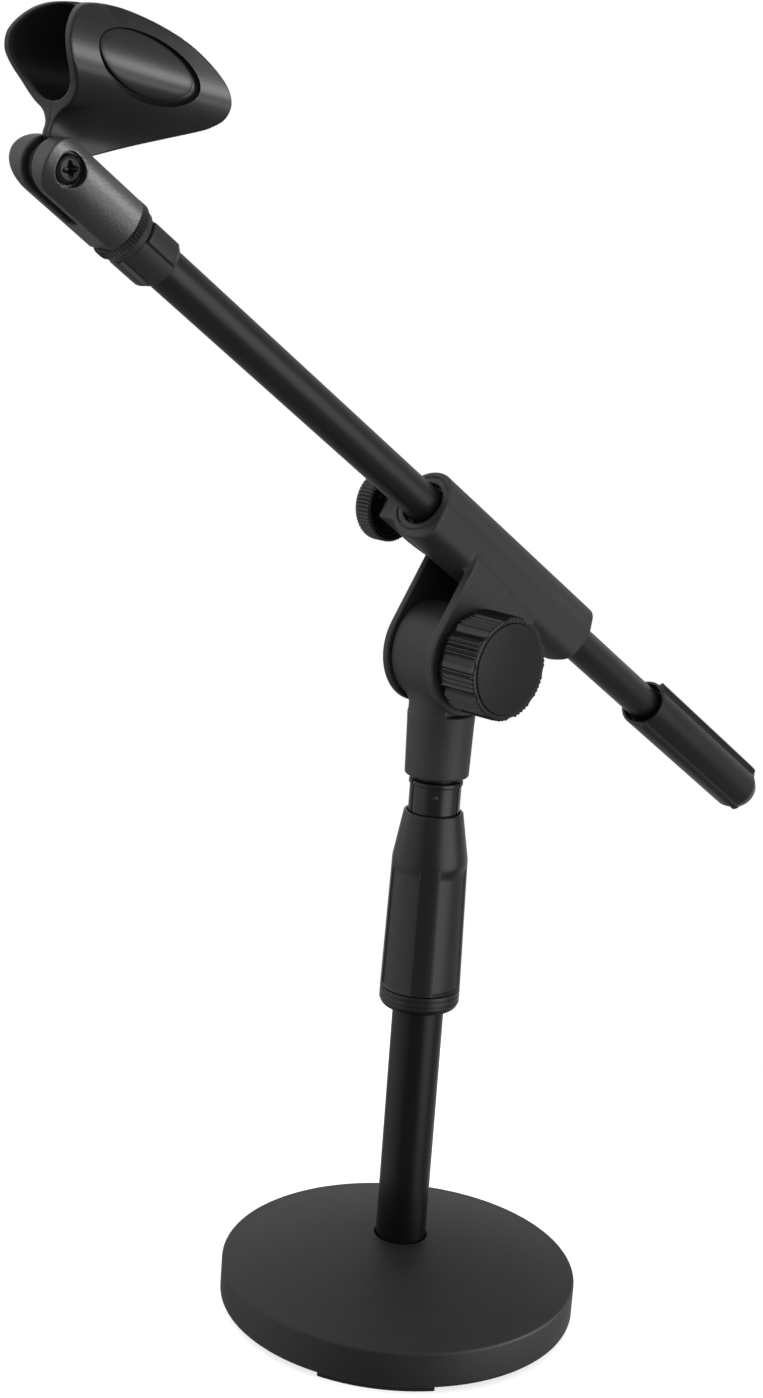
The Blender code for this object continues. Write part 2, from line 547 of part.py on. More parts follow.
def make_adapter(frame, looks):
    """Threaded barrel with two flats and two ears. The frame's X is across the ears, Z along the barrel,
    and Y points to the far side."""
    steps = 22
    section = []
    for x, y in arc((0, 0), ADAPTER_R, 0, 360, steps * 2)[:-1]:
        section.append((max(-ADAPTER_HALF, min(ADAPTER_HALF, x)), y))
    top = EAR_S + ADAPTER_HALF + 2
    levels = [(ADAPTER_LOW, 0.95), (ADAPTER_LOW + 0.7, 1.0), (top, 1.0)]
    adapter = loft("clip_adapter", [[(x * k, y * k, z) for x, y in section] for z, k in levels], frame,
                   looks["moulded"])
    tip = arc((0, EAR_S), ADAPTER_HALF, 0, 180, 14) + [(-ADAPTER_HALF - 4, EAR_S),
                                                       (-ADAPTER_HALF - 4, top + 4),
                                                       (ADAPTER_HALF + 4, top + 4),
                                                       (ADAPTER_HALF + 4, EAR_S)]
    slot = [(-SLOT_HALF, top + 4)] + arc((0, SLOT_LOW + SLOT_HALF), SLOT_HALF, 180, 360,
                                         8) + [(SLOT_HALF, top + 4)]
    slot_tool = loft("ear_slot", [[(x, y, z) for y, z in slot] for x in (-15, 15)], frame)
    cut(
        adapter,
        prism("ear_tips", tip, -15, 15, frame, along="Y"),
        slot_tool,
        turned("adapter_thread", rod(STUD_R + GAP, ADAPTER_LOW - 2, STUD_HIGH + 0.8, 0.0), frame, steps=24),
    )
    return adapter


def make_clip_hardware(adapter, frame, looks):
    """Cross-head screw and its nut through the ears. The frame's Z runs out to the near side."""
    cut(
        adapter,
        turned("screw_head_recess", rod(HEAD_RECESS_R, HEAD_RECESS_FLOOR, 15, 0.0), frame, steps=24),
        prism("nut_pocket", regular(6, 4.2 + GAP), -15, -6.6, frame),
        turned("screw_shank_hole", rod(CLIP_SCREW_R + GAP, -15, 15, 0.0), frame, steps=16),
    )
    head = [
        (0, HEAD_RECESS_FLOOR + GAP), (4.4, HEAD_RECESS_FLOOR + GAP), (4.4, HEAD_RECESS_FLOOR + 1.2),
        (3.2, HEAD_RECESS_FLOOR + 2.2), (0, HEAD_RECESS_FLOOR + 2.5),
    ]
    screw = turned("clip_screw", rod(CLIP_SCREW_R, -9.4, HEAD_RECESS_FLOOR + 1.0, 0.2), frame,
                   looks["black_steel"], steps=16)
    join(screw, turned("clip_screw_head", head, frame, steps=24))
    blade_half, blade_reach = 0.45, 2.4
    for i, corners in enumerate((
        [(-blade_reach, -blade_half), (blade_reach, -blade_half), (blade_reach, blade_half),
         (-blade_reach, blade_half)],
        [(-blade_half, -blade_reach), (blade_half, -blade_reach), (blade_half, blade_reach),
         (-blade_half, blade_reach)],
    )):
        cut(screw, prism(f"cross_recess_{i + 1}", corners, HEAD_RECESS_FLOOR + 1.1, HEAD_RECESS_FLOOR + 4,
                         frame))
    nut = prism("clip_nut", regular(6, 4.2), -9.2, -6.6 - GAP, frame, looks["steel"])
    cut(nut, turned("clip_nut_thread", rod(CLIP_SCREW_R + GAP, -12, -4, 0.0), frame, steps=16))


def clip_section(g, inset):
    """Section of the jaws at g along the microphone axis: round below, leaning inwards above its middle.
    It gets smaller and rises towards the nose."""
    part = (g + 16.0) / 63.0
    outer = 19.0 - 7.0 * part
    radius = outer - inset
    middle = 31.5 + 9.0 * part
    points = []
    for i in range(32):
        a = 2 * math.pi * i / 32
        rise = radius * math.sin(a)
        share = max(0.0, min(1.0, rise / (0.58 * outer)))
        lean = 1.0 - 0.2 * share * share * (3 - 2 * share)
        points.append((g, middle + rise, lean * radius * math.cos(a)))
    return points


def make_clip(frame, looks):
    """Spring-jaw clip in one moulding: an open-topped tapered cradle on a keel with a round lug.

    The frame sits on the clip screw with X along the microphone to its narrow end, Y up through the
    open side and Z to the near side."""
    jaws = loft("clip_jaws", [clip_section(g, 0.0) for g in (CLIP_BACK, CLIP_NOSE)], frame, looks["clip"])
    side = [
        (-5.0, 8.0), (-5.5, 16.5), (-8.0, 21.6), (-11.4, 25.0), (-14.6, 29.5), (-15.9, 34.5), (-14.5, 39.5),
        (-11.5, 43.8), (-7.0, 46.6), (0.0, 48.6), (8.0, 49.5), (17.0, 49.5), (26.0, 48.4), (33.5, 46.4),
        (40.0, 43.4), (44.5, 40.0), (46.8, 36.0), (47.0, 32.0), (45.0, 26.5),
    ]
    envelope = loft("clip_envelope", [[(g, v, m) for g, v in side] for m in (-25, 25)], frame)
    boolean(jaws, envelope, "INTERSECT")
    keel = [(-4.6, 0.0), (-4.4, 20.0), (46.0, 32.5), (46.0, 27.3), (11.9, 6.9), (5.5, 0.0)]
    join(jaws, loft("clip_keel", [[(g, v, m) for g, v in keel] for m in (-2.2, 2.2)], frame))
    join(jaws, turned("clip_lug", rod(LUG_R, -LUG_HALF, LUG_HALF, 0.3), frame, steps=24))
    opening = [(CLIP_BACK - 8, 38.0), (CLIP_NOSE + 8, 41.0), (CLIP_NOSE + 8, 60.0), (CLIP_BACK - 8, 60.0)]
    cut(
        jaws,
        loft("clip_bore", [clip_section(g, CLIP_WALL) for g in (CLIP_BACK - 6, CLIP_NOSE + 6)], frame),
        loft("clip_opening", [[(g, v, m) for g, v in opening] for m in (-CLIP_OPENING, CLIP_OPENING)],
             frame),
        turned("lug_hole", rod(CLIP_SCREW_R + GAP, -10, 10, 0.0), frame, steps=16),
    )


def build():
    clear_scene()
    looks = make_looks()
    column = axis_empty("column_axis", (0, 0, 0), (1, 0, 0), (0, 0, 1))
    make_base(column, looks)
    make_column(column, looks)
    make_clutch(column, looks)
    make_post(column, looks)
    pivot = axis_empty("tilt_axis", (0, 0, PIVOT_Z), (1, 0, 0), (0, -1, 0))
    make_hub(column, pivot, looks)
    make_clamp(axis_empty("clamp_axis", (0, 0, PIVOT_Z), BOOM_UP, BOOM_DIR), looks)
    make_pivot_hardware(pivot, looks)
    make_tilt_knob(pivot, looks)
    boom_foot = Vector((0, 0, PIVOT_Z)) + BOOM_UP * BOOM_OFFSET
    screw_at = boom_foot + BOOM_DIR * CLAMP_S
    make_clamp_screw(axis_empty("clamp_screw_axis", screw_at, (1, 0, 0), (0, 1, 0)), looks)
    boom = axis_empty("boom_axis", boom_foot, BOOM_UP, BOOM_DIR)
    make_boom(boom, looks)
    make_lock_ring(boom, looks)
    turn = math.radians(ADAPTER_TURN)
    far = Vector((0, 1, 0))
    near = BOOM_UP * math.sin(turn) - far * math.cos(turn)
    across = BOOM_UP * math.cos(turn) + far * math.sin(turn)
    adapter = make_adapter(axis_empty("adapter_axis", boom_foot, across, BOOM_DIR), looks)
    tilt = math.radians(CLIP_TILT)
    nose = across * math.sin(tilt) - BOOM_DIR * math.cos(tilt)
    clip = axis_empty("clip_axis", boom_foot + BOOM_DIR * EAR_S, nose, near)
    make_clip_hardware(adapter, clip, looks)
    make_clip(clip, looks)


BOOM_DIR = Vector((-math.cos(math.radians(BOOM_TILT)), 0, math.sin(math.radians(BOOM_TILT))))
BOOM_UP = Vector((math.sin(math.radians(BOOM_TILT)), 0, math.cos(math.radians(BOOM_TILT))))

build()
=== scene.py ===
"""Looks of a desktop microphone stand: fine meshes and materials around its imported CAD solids.

Lengths inside the functions are millimetres in each piece's own axes. A place is a matrix that puts
those axes into the frame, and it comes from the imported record's joints.
"""

import json
import math

import bmesh
import bpy
import numpy as np
from mathutils import Matrix, Vector


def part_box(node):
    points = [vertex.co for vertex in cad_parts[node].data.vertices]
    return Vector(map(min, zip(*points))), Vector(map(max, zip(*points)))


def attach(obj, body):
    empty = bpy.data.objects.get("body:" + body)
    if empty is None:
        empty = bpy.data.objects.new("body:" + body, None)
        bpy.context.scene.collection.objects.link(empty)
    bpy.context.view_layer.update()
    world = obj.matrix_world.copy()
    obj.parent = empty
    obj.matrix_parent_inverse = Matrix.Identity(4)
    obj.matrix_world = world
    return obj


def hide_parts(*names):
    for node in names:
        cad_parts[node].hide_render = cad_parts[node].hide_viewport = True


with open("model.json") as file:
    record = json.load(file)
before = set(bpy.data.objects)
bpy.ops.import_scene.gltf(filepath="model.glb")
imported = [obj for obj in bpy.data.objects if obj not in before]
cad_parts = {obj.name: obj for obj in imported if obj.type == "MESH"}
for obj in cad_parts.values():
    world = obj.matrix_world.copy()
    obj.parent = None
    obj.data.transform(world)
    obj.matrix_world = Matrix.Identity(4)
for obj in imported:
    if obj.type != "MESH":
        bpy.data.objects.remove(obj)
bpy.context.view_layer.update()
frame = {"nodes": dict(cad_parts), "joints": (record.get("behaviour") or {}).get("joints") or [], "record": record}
JOINTS = {joint["name"]: joint for joint in frame["joints"]}
MM = 0.001
# Clearance between two pieces where one sits in the other, in millimetres.
GAP = 0.3
# From the side with the tilt knob to the side with the thumb screw.
FAR = Vector((0.0, 1.0, 0.0))

CAMERA_AT = Vector((-0.54967, -0.52580, 0.41298))
CAMERA_AZIMUTH = math.radians(-44.557)
CAMERA_ROLL = math.radians(4.148)
# In degrees, as the other heights of lights and views.
CAMERA_ELEVATION = 12.468
CAMERA_LENS = 53.56


# -------- places

def place(origin, x_axis, z_axis):
    """Matrix of a piece's own axes: its origin in metres, and where its X and Z point."""
    x, z = Vector(x_axis).normalized(), Vector(z_axis).normalized()
    return Matrix.Translation(Vector(origin)) @ Matrix((x, z.cross(x), z)).transposed().to_4x4()


PIVOT = Vector(JOINTS["boom_tilt"]["pos_m"])
BOOM_DIR = Vector(JOINTS["boom_slide"]["axis"]).normalized()
BOOM_UP = FAR.cross(BOOM_DIR)
ON_BOOM = Vector(JOINTS["adapter_turn"]["pos_m"])
BOOM_FOOT = ON_BOOM - BOOM_DIR * (ON_BOOM - PIVOT).dot(BOOM_DIR)
CLIP_PIVOT = Vector(JOINTS["clip_tilt"]["pos_m"])
CLIP_NEAR = Vector(JOINTS["clip_tilt"]["axis"]).normalized()
ACROSS = BOOM_DIR.cross(CLIP_NEAR)
CLIP_TILT = math.radians(19.5)
THUMB_AT = Vector(JOINTS["thumb_screw_turn"]["pos_m"])

COLUMN = place((0, 0, 0), (1, 0, 0), (0, 0, 1))
CLAMP = place(PIVOT, BOOM_UP, BOOM_DIR)
BOOM = place(BOOM_FOOT, BOOM_UP, BOOM_DIR)
KNOB = place(PIVOT, (1, 0, 0), -FAR)
THUMB = place((THUMB_AT.x, BOOM_FOOT.y, THUMB_AT.z), (1, 0, 0), FAR)
ADAPTER = place(BOOM_FOOT, ACROSS, BOOM_DIR)
CLIP = place(CLIP_PIVOT, ACROSS * math.sin(CLIP_TILT) - BOOM_DIR * math.cos(CLIP_TILT), CLIP_NEAR)


def span(node, where):
    """Lowest and highest corner of a CAD node in a place's own axes, in millimetres."""
    back = np.array(where.inverted())
    points = np.array([v.co for v in frame["nodes"][node].data.vertices])
    local = points @ back[:3, :3].T + back[:3, 3]
    return local.min(0) / MM, local.max(0) / MM


# -------- meshes

def add_piece(name, points, faces, where, material, body, nodes=(), slot=None, smooth=35.0):
    """Makes one piece from points in millimetres, in its own axes, and lets it ride on a body."""
    mesh = bpy.data.meshes.new(name)
    mesh.from_pydata((np.asarray(points) * MM).tolist(), [], faces)
    bm = bmesh.new()
    bm.from_mesh(mesh)
    bmesh.ops.remove_doubles(bm, verts=bm.verts, dist=1e-7)
    bmesh.ops.recalc_face_normals(bm, faces=bm.faces)
    bm.to_mesh(mesh)
    bm.free()
    mesh.shade_smooth()
    mesh.set_sharp_from_angle(angle=math.radians(smooth))
    mesh.materials.append(material)
    obj = bpy.data.objects.new(name, mesh)
    obj.matrix_world = where
    bpy.context.scene.collection.objects.link(obj)
    if body:
        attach(obj, body)
        if nodes:
            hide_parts(*nodes)
    return obj


def loft(rings, closed=False):
    """Skin over rings of equal length. The last ring joins the first, or both ends get a flat face."""
    count, size = len(rings), len(rings[0])
    points = np.concatenate(rings)
    index = np.arange(count * size).reshape(count, size)
    low, high = (index, np.roll(index, -1, 0)) if closed else (index[:-1], index[1:])
    quads = np.stack([low, np.roll(low, -1, 1), np.roll(high, -1, 1), high], -1).reshape(-1, 4)
    faces = quads.tolist()
    if not closed:
        faces += [index[0].tolist(), index[-1].tolist()]
    return points, faces


def turned(profile, steps=96, shape=None):
    """Skin turned about Z from (radius, height) points.

    The profile is a loop around a ring-shaped solid, or it runs from the axis to the axis.
    shape(angles, radius, height) may change a ring's radii.
    """
    angles = np.arange(steps) * 2 * math.pi / steps
    rings = []
    for radius, height in profile:
        radii = shape(angles, radius, height) if shape and radius > 0 else np.full(steps, float(radius))
        x, y = radii * np.cos(angles), radii * np.sin(angles)
        rings.append(np.stack([x, y, np.full(steps, float(height))], -1))
    on_axis = min(radius for radius, _ in profile) <= 0
    points, faces = loft(rings, closed=not on_axis)
    return points, faces[:-2] if on_axis else faces


def rounded(points, radius=0.4, closed=True, steps=5):
    """An outline with its corners rounded. A point may carry its own corner radius as a third number."""
    made = []
    count = len(points)
    for i, point in enumerate(points):
        here = np.array(point[:2], float)
        corner = point[2] if len(point) > 2 else radius
        if corner <= 0 or (not closed and i in (0, count - 1)):
            made.append(tuple(here))
            continue
        before = np.array(points[i - 1][:2], float) - here
        after = np.array(points[(i + 1) % count][:2], float) - here
        to_before, to_after = np.linalg.norm(before), np.linalg.norm(after)
        u, v = before / to_before, after / to_after
        half = math.acos(max(-1.0, min(1.0, float(u @ v)))) / 2
        if half > math.radians(89):
            made.append(tuple(here))
            continue
        reach = min(corner / math.tan(half), 0.48 * to_before, 0.48 * to_after)
        real = reach * math.tan(half)
        centre = here + (u + v) / np.linalg.norm(u + v) * real / math.sin(half)
        start, end = here + u * reach - centre, here + v * reach - centre
        turn = math.pi - 2 * half
        for k in range(steps + 1):
            a, b = math.sin(turn * (1 - k / steps)), math.sin(turn * k / steps)
            made.append(tuple(centre + (start * a + end * b) / math.sin(turn)))
    return made


def finer(outline, step, least):
    """A closed outline with its straight runs outside radius least cut into pieces no longer than step."""
    points = []
    for (r0, h0), (r1, h1) in zip(outline, outline[1:] + outline[:1]):
        parts = max(1, int(abs(h1 - h0) / step)) if min(r0, r1) > least else 1
        points += [(r0 + (r1 - r0) * i / parts, h0 + (h1 - h0) * i / parts) for i in range(parts)]
    return points


def ring(inner, outer, low, high, edge=0.3):
    """Rounded outline of a plain ring."""
    return rounded([(inner, low), (outer, low), (outer, high), (inner, high)], edge)


def rod(radius, low, high, edge=0.3):
    """Rounded outline of a solid round bar."""
    return rounded([(0, low, 0), (radius, low), (radius, high), (0, high, 0)], edge)


def arc(centre, radius, start, end, steps):
    """Points on an arc, in degrees, both ends included."""
    angles = [math.radians(start + (end - start) * i / steps) for i in range(steps + 1)]
    return [(centre[0] + radius * math.cos(a), centre[1] + radius * math.sin(a)) for a in angles]


def hexagon(apothem, above=0.0):
    """Shape for turned(): rings whose radius passes above are cut to a hexagon."""
    def shape(angles, radius, height):
        flat = apothem / np.cos((angles + math.pi / 6) % (math.pi / 3) - math.pi / 6)
        return np.minimum(radius, flat) if radius > above else np.full(len(angles), float(radius))
    return shape


def cut(obj, *tools):
    """Cuts helper solids out of a piece and removes them."""
    for tool in tools:
        step = obj.modifiers.new("cut", "BOOLEAN")
        step.operation = "DIFFERENCE"
        step.object = tool
        step.solver = "EXACT"
        bpy.context.view_layer.update()
        mesh = bpy.data.meshes.new_from_object(obj.evaluated_get(bpy.context.evaluated_depsgraph_get()))
        obj.modifiers.clear()
        obj.data = mesh
        bpy.data.objects.remove(tool)
    obj.data.set_sharp_from_angle(angle=math.radians(30))


def box_tool(low, high, where, turn=0.0):
    """A plain box used as a cutter, turned about the place's Z by turn degrees."""
    outline = [(low[0], low[1]), (high[0], low[1]), (high[0], high[1]), (low[0], high[1])]
    points, faces = loft([np.array([(x, y, z) for x, y in outline], float) for z in (low[2], high[2])])
    spin = Matrix.Rotation(math.radians(turn), 4, "Z")
    return add_piece("cutter", points, faces, where @ spin, PLAIN, None)


# -------- distance fields

def both(a, b, radius=0.0):
    """Where both solids are, with the edge between them rounded."""
    if np.max(radius) <= 0:
        return np.maximum(a, b)
    rounding = np.hypot(np.maximum(a + radius, 0), np.maximum(b + radius, 0))
    return np.minimum(-radius, np.maximum(a, b)) + rounding


def either(a, b, radius=0.0):
    """Where either solid is, with a fillet between them."""
    if np.max(radius) <= 0:
        return np.minimum(a, b)
    rounding = np.hypot(np.maximum(radius - a, 0), np.maximum(radius - b, 0))
    return np.maximum(radius, np.minimum(a, b)) - rounding


def without(a, b, radius=0.0):
    """The first solid with the second cut out of it, and the edge between them rounded."""
    return both(a, -b, radius)


def between(x, low, high):
    """Distance to the slab from low to high, negative inside it."""
    return np.maximum(low - x, x - high)


def inside_outline(x, y, outline):
    """Signed distance to a closed outline in a plane, negative inside it."""
    nearest, within = None, None
    for i, (bx, by) in enumerate(outline):
        ax, ay = outline[i - 1]
        ex, ey = bx - ax, by - ay
        along = np.clip(((x - ax) * ex + (y - ay) * ey) / (ex * ex + ey * ey), 0, 1)
        distance = (x - ax - ex * along) ** 2 + (y - ay - ey * along) ** 2
        nearest = distance if nearest is None else np.minimum(nearest, distance)
        if ey != 0:
            crosses = ((ay > y) != (by > y)) & (x < ex * (y - ay) / ey + ax)
            within = crosses if within is None else within ^ crosses
    return np.where(within, -1.0, 1.0) * np.sqrt(nearest)


def smooth_loop(points, steps=8):
    """A closed curve through a few points."""
    points = [np.array(p, float) for p in points]
    count = len(points)
    made = []
    for i in range(count):
        p0, p1, p2, p3 = (points[(i + k - 1) % count] for k in range(4))
        for s in range(steps):
            t = s / steps
            square = (2 * p0 - 5 * p1 + 4 * p2 - p3) * t * t
            cube = (3 * p1 - p0 - 3 * p2 + p3) * t ** 3
            made.append(tuple(0.5 * (2 * p1 + (p2 - p0) * t + square + cube)))
    return made


def smoothstep(t):
    """Eases from 0 to 1 as t goes from 0 to 1."""
    t = np.clip(t, 0, 1)
    return t * t * (3 - 2 * t)


CORNERS = [(i, j, k) for i in (0, 1) for j in (0, 1) for k in (0, 1)]


def crossed_cells(full):
    """Cells of the grid with some corners inside the solid and some outside."""
    size = [n - 1 for n in full.shape]
    blocks = [full[tuple(slice(c, c + n) for c, n in zip(corner, size))] for corner in CORNERS]
    count = sum(block.astype(np.int8) for block in blocks)
    return np.argwhere((count > 0) & (count < 8))


def points_in_cells(value, cells):
    """Mean of the places where the surface crosses each cell's edges, in grid steps."""
    total = np.zeros((len(cells), 3))
    hits = np.zeros(len(cells))
    for corner in CORNERS:
        for axis in range(3):
            if corner[axis]:
                continue
            other = tuple(c + (n == axis) for n, c in enumerate(corner))
            a = value[tuple((cells + corner).T)]
            b = value[tuple((cells + other).T)]
            crossing = (a < 0) != (b < 0)
            t = np.where(crossing, a / np.where(a == b, 1, a - b), 0)
            point = np.repeat(np.array(corner, float)[None], len(cells), 0)
            point[:, axis] += t
            total += point * crossing[:, None]
            hits += crossing
    return cells + total / hits[:, None]


def quads_of_cells(full, cells):
    """One face around each grid edge that crosses the surface, wound so that it looks outwards."""
    number = np.full([n - 1 for n in full.shape], -1, np.int64)
    number[tuple(cells.T)] = np.arange(len(cells))
    quads = []
    for axis in range(3):
        u, v = (axis + 1) % 3, (axis + 2) % 3
        first = [slice(None)] * 3
        first[axis] = slice(0, -1)
        second = [slice(None)] * 3
        second[axis] = slice(1, None)
        edges = np.argwhere(full[tuple(first)] != full[tuple(second)])
        edges = edges[(edges[:, u] > 0) & (edges[:, v] > 0)]
        step_u, step_v = np.eye(3, dtype=int)[u], np.eye(3, dtype=int)[v]
        around = (step_u + step_v, step_v, 0 * step_u, step_u)
        quad = np.stack([number[tuple((edges - back).T)] for back in around], -1)
        flip = ~full[tuple(edges.T)]
        quad[flip] = quad[flip][:, ::-1]
        quads.append(quad)
    return np.concatenate(quads).tolist()


def settle(points, field, cell):
    """Moves points onto the surface, along the field's slope."""
    reach = cell / 8
    for _ in range(2):
        x, y, z = points.T
        here = field(x, y, z)
        slope = np.stack([
            field(x + reach, y, z) - field(x - reach, y, z),
            field(x, y + reach, z) - field(x, y - reach, z),
            field(x, y, z + reach) - field(x, y, z - reach),
        ], -1) / (2 * reach)
        push = here[:, None] * slope / np.maximum((slope ** 2).sum(-1), 0.25)[:, None]
        points = points - np.clip(push, -cell / 2, cell / 2)
    return points


def field_mesh(field, low, high, cell):
    """Meshes the surface where a distance field is zero, with one point in each cell that it crosses."""
    axes = [np.arange(a - cell, b + 2 * cell, cell) for a, b in zip(low, high)]
    grid = np.meshgrid(*axes, indexing="ij", sparse=True)
    value = np.broadcast_to(field(*grid), [len(axis) for axis in axes]).astype(np.float32)
    full = value < 0
    cells = crossed_cells(full)
    points = np.array([axis[0] for axis in axes]) + points_in_cells(value, cells) * cell
    return settle(points, field, cell), quads_of_cells(full, cells)


# -------- materials

def add_node(tree, kind, inputs=None, **settings):
    """A shader node with its settings. An input is a value, or another node's output to link."""
    node = tree.nodes.new(kind)
    for key, value in settings.items():
        setattr(node, key, value)
    for key, value in (inputs or {}).items():
        if isinstance(value, bpy.types.NodeSocket):
            tree.links.new(value, node.inputs[key])
        else:
            node.inputs[key].default_value = value
    return node


def noise(tree, coordinates, size_mm, detail=4.0, roughness=0.55):
    """Noise whose lumps are about size_mm across."""
    scale = 1.0 / (size_mm * MM)
    settings = {"Vector": coordinates, "Scale": scale, "Detail": detail, "Roughness": roughness}
    return add_node(tree, "ShaderNodeTexNoise", settings).outputs["Fac"]


def remap(tree, value, low, high, to_low, to_high):
    """Value brought from one range to another, and held within it."""
    settings = {"Value": value, "From Min": low, "From Max": high, "To Min": to_low, "To Max": to_high}
    return add_node(tree, "ShaderNodeMapRange", settings).outputs["Result"]


def multiply(tree, a, b):
    """Product of two values in a shader."""
    return add_node(tree, "ShaderNodeMath", {0: a, 1: b}, operation="MULTIPLY").outputs[0]


def plus(tree, a, b):
    """Sum of two values in a shader."""
    return add_node(tree, "ShaderNodeMath", {0: a, 1: b}, operation="ADD").outputs[0]


# Pale speck colour, for dust and for painted glints of grain.
DUST_AND_GLINT_COLOUR = (0.16, 0.16, 0.165, 1.0)


def mix(tree, amount, first, second):
    """Colour that goes from the first to the second as the amount goes from 0 to 1."""
    settings = {"Factor": amount, "A": first, "B": second}
    return add_node(tree, "ShaderNodeMix", settings, data_type="RGBA").outputs["Result"]


def dust_and_glint_amount(tree, where, most):
    """Scattered fine pale specks, for dust and for painted glints."""
    return remap(tree, noise(tree, where, 0.9, 2.0, 0.7), 0.64, 0.80, 0.0, most)


def edge_highlight_amount(tree, where, most):
    """Painted highlight in patches along the outer edges."""
    edge = add_node(tree, "ShaderNodeNewGeometry").outputs["Pointiness"]
    patch = remap(tree, noise(tree, where, 2.0), 0.35, 0.65, 0.3, 1.0)
    return multiply(tree, remap(tree, edge, 0.53, 0.62, 0.0, most), patch)


def scratch_amount(tree, where, most):
    """Fine lines along the piece's Z."""
    drawn_out = {"Vector": where, "Scale": (1.0, 1.0, 0.03)}
    along = add_node(tree, "ShaderNodeMapping", drawn_out).outputs["Vector"]
    return remap(tree, noise(tree, along, 0.35, 2.0, 0.8), 0.60, 0.75, 0.0, most)


def add_bump(tree, shader, source, height):
    """Adds relief of a height in millimetres to what relief the shader has."""
    settings = {"Height": source, "Distance": height * MM, "Strength": 1.0}
    if shader.inputs["Normal"].is_linked:
        settings["Normal"] = shader.inputs["Normal"].links[0].from_socket
    tree.links.new(add_node(tree, "ShaderNodeBump", settings).outputs["Normal"], shader.inputs["Normal"])


def finish(name, colour, roughness, metallic=0.0, mottle=0.12, grain=0.0, grain_size=0.4, lumps=0.0,
           lump_size=3.0, stretch=(1, 1, 1), scratches=0.0, dust_and_glints=0.0, edge_highlight=0.0, specular=0.5):
    """A finish with mottled colour and roughness, grain, lumps, scratches, pale specks of dust and painted glints,
    and paler edges that are a painted highlight.
    """
    material = bpy.data.materials.new(name)
    material.use_nodes = True
    tree = material.node_tree
    shader = tree.nodes["Principled BSDF"]
    where = add_node(tree, "ShaderNodeTexCoord").outputs["Object"]
    mapped = add_node(tree, "ShaderNodeMapping", {"Vector": where, "Scale": stretch}).outputs["Vector"]
    cloud = noise(tree, where, 14.0, 3.0)
    fine = noise(tree, mapped, grain_size, 3.0, 0.6)
    dark = tuple(c * (1 - mottle) for c in colour)
    light = tuple(min(1.0, c * (1 + mottle)) for c in colour)
    tone = mix(tree, remap(tree, cloud, 0.3, 0.7, 0.0, 1.0), (*dark, 1.0), (*light, 1.0))
    spread = 0.12 * mottle
    rough = remap(tree, cloud, 0.3, 0.7, roughness - spread, roughness + spread)
    if grain > 0:
        rough = plus(tree, rough, remap(tree, fine, 0.3, 0.7, -0.03, 0.03))
    # Pale specks: dust on most finishes, painted glints of the grain on the adapter.
    if dust_and_glints > 0:
        amount = dust_and_glint_amount(tree, where, dust_and_glints)
        tone = mix(tree, amount, tone, DUST_AND_GLINT_COLOUR)
        rough = plus(tree, rough, amount)
    # Paler colour on sharp edges: a painted highlight.
    if edge_highlight > 0:
        highlit = tuple(min(1.0, c * 3.0 + 0.03) for c in colour)
        tone = mix(tree, edge_highlight_amount(tree, where, edge_highlight), tone, (*highlit, 1.0))
    if scratches > 0:
        rough = plus(tree, rough, scratch_amount(tree, where, scratches))
    tree.links.new(tone, shader.inputs["Base Color"])
    tree.links.new(rough, shader.inputs["Roughness"])
    shader.inputs["Metallic"].default_value = metallic
    shader.inputs["Specular IOR Level"].default_value = specular
    if lumps > 0:
        add_bump(tree, shader, noise(tree, mapped, lump_size, 2.0, 0.5), lumps)
    if grain > 0:
        add_bump(tree, shader, fine, grain)
    return material


# For helper solids only, which are gone once they have cut.
PLAIN = bpy.data.materials.new("plain")
# Each edge amount below paints sharp edges paler, as a highlight.
COAT = finish("powder_coat", (0.0122, 0.0122, 0.0127), 0.52, grain=0.05, grain_size=0.7, lumps=0.035,
              lump_size=2.2, dust_and_glints=0.03, edge_highlight=0.12, specular=0.50)
TUBE = finish("gloss_tube", (0.0050, 0.0050, 0.0052), 0.28, mottle=0.08, grain=0.0015, grain_size=0.5,
              lumps=0.003, lump_size=9.0, specular=0.28)
BOOM_TUBE = finish("satin_tube", (0.0085, 0.0085, 0.0088), 0.34, mottle=0.08, grain=0.002, grain_size=0.5,
                   lumps=0.003, lump_size=9.0, specular=0.5)
MOULDED = finish("moulded_nylon", (0.0300, 0.0300, 0.0318), 0.46, grain=0.020, grain_size=0.45, lumps=0.008,
                 lump_size=6.0, dust_and_glints=0.03, edge_highlight=0.2)
GRIP = finish("clutch_nylon", (0.0085, 0.0085, 0.0088), 0.30, grain=0.010, grain_size=0.45, lumps=0.008,
              lump_size=7.0, edge_highlight=0.2)
GLOSSY = finish("knob_plastic", (0.0075, 0.0075, 0.0080), 0.19, mottle=0.08, grain=0.0008, grain_size=0.6,
                lumps=0.002, lump_size=9.0, edge_highlight=0.3, scratches=0.03)
CAP = finish("cap_plastic", (0.0070, 0.0070, 0.0075), 0.32, mottle=0.08, grain=0.002, grain_size=0.5,
             lumps=0.002, lump_size=8.0, edge_highlight=0.25, specular=0.36)
CLIP_SKIN = finish("clip_satin", (0.0080, 0.0080, 0.0085), 0.40, mottle=0.08, grain=0.006, grain_size=0.35,
                   lumps=0.004, lump_size=9.0, edge_highlight=0.1, specular=0.35)
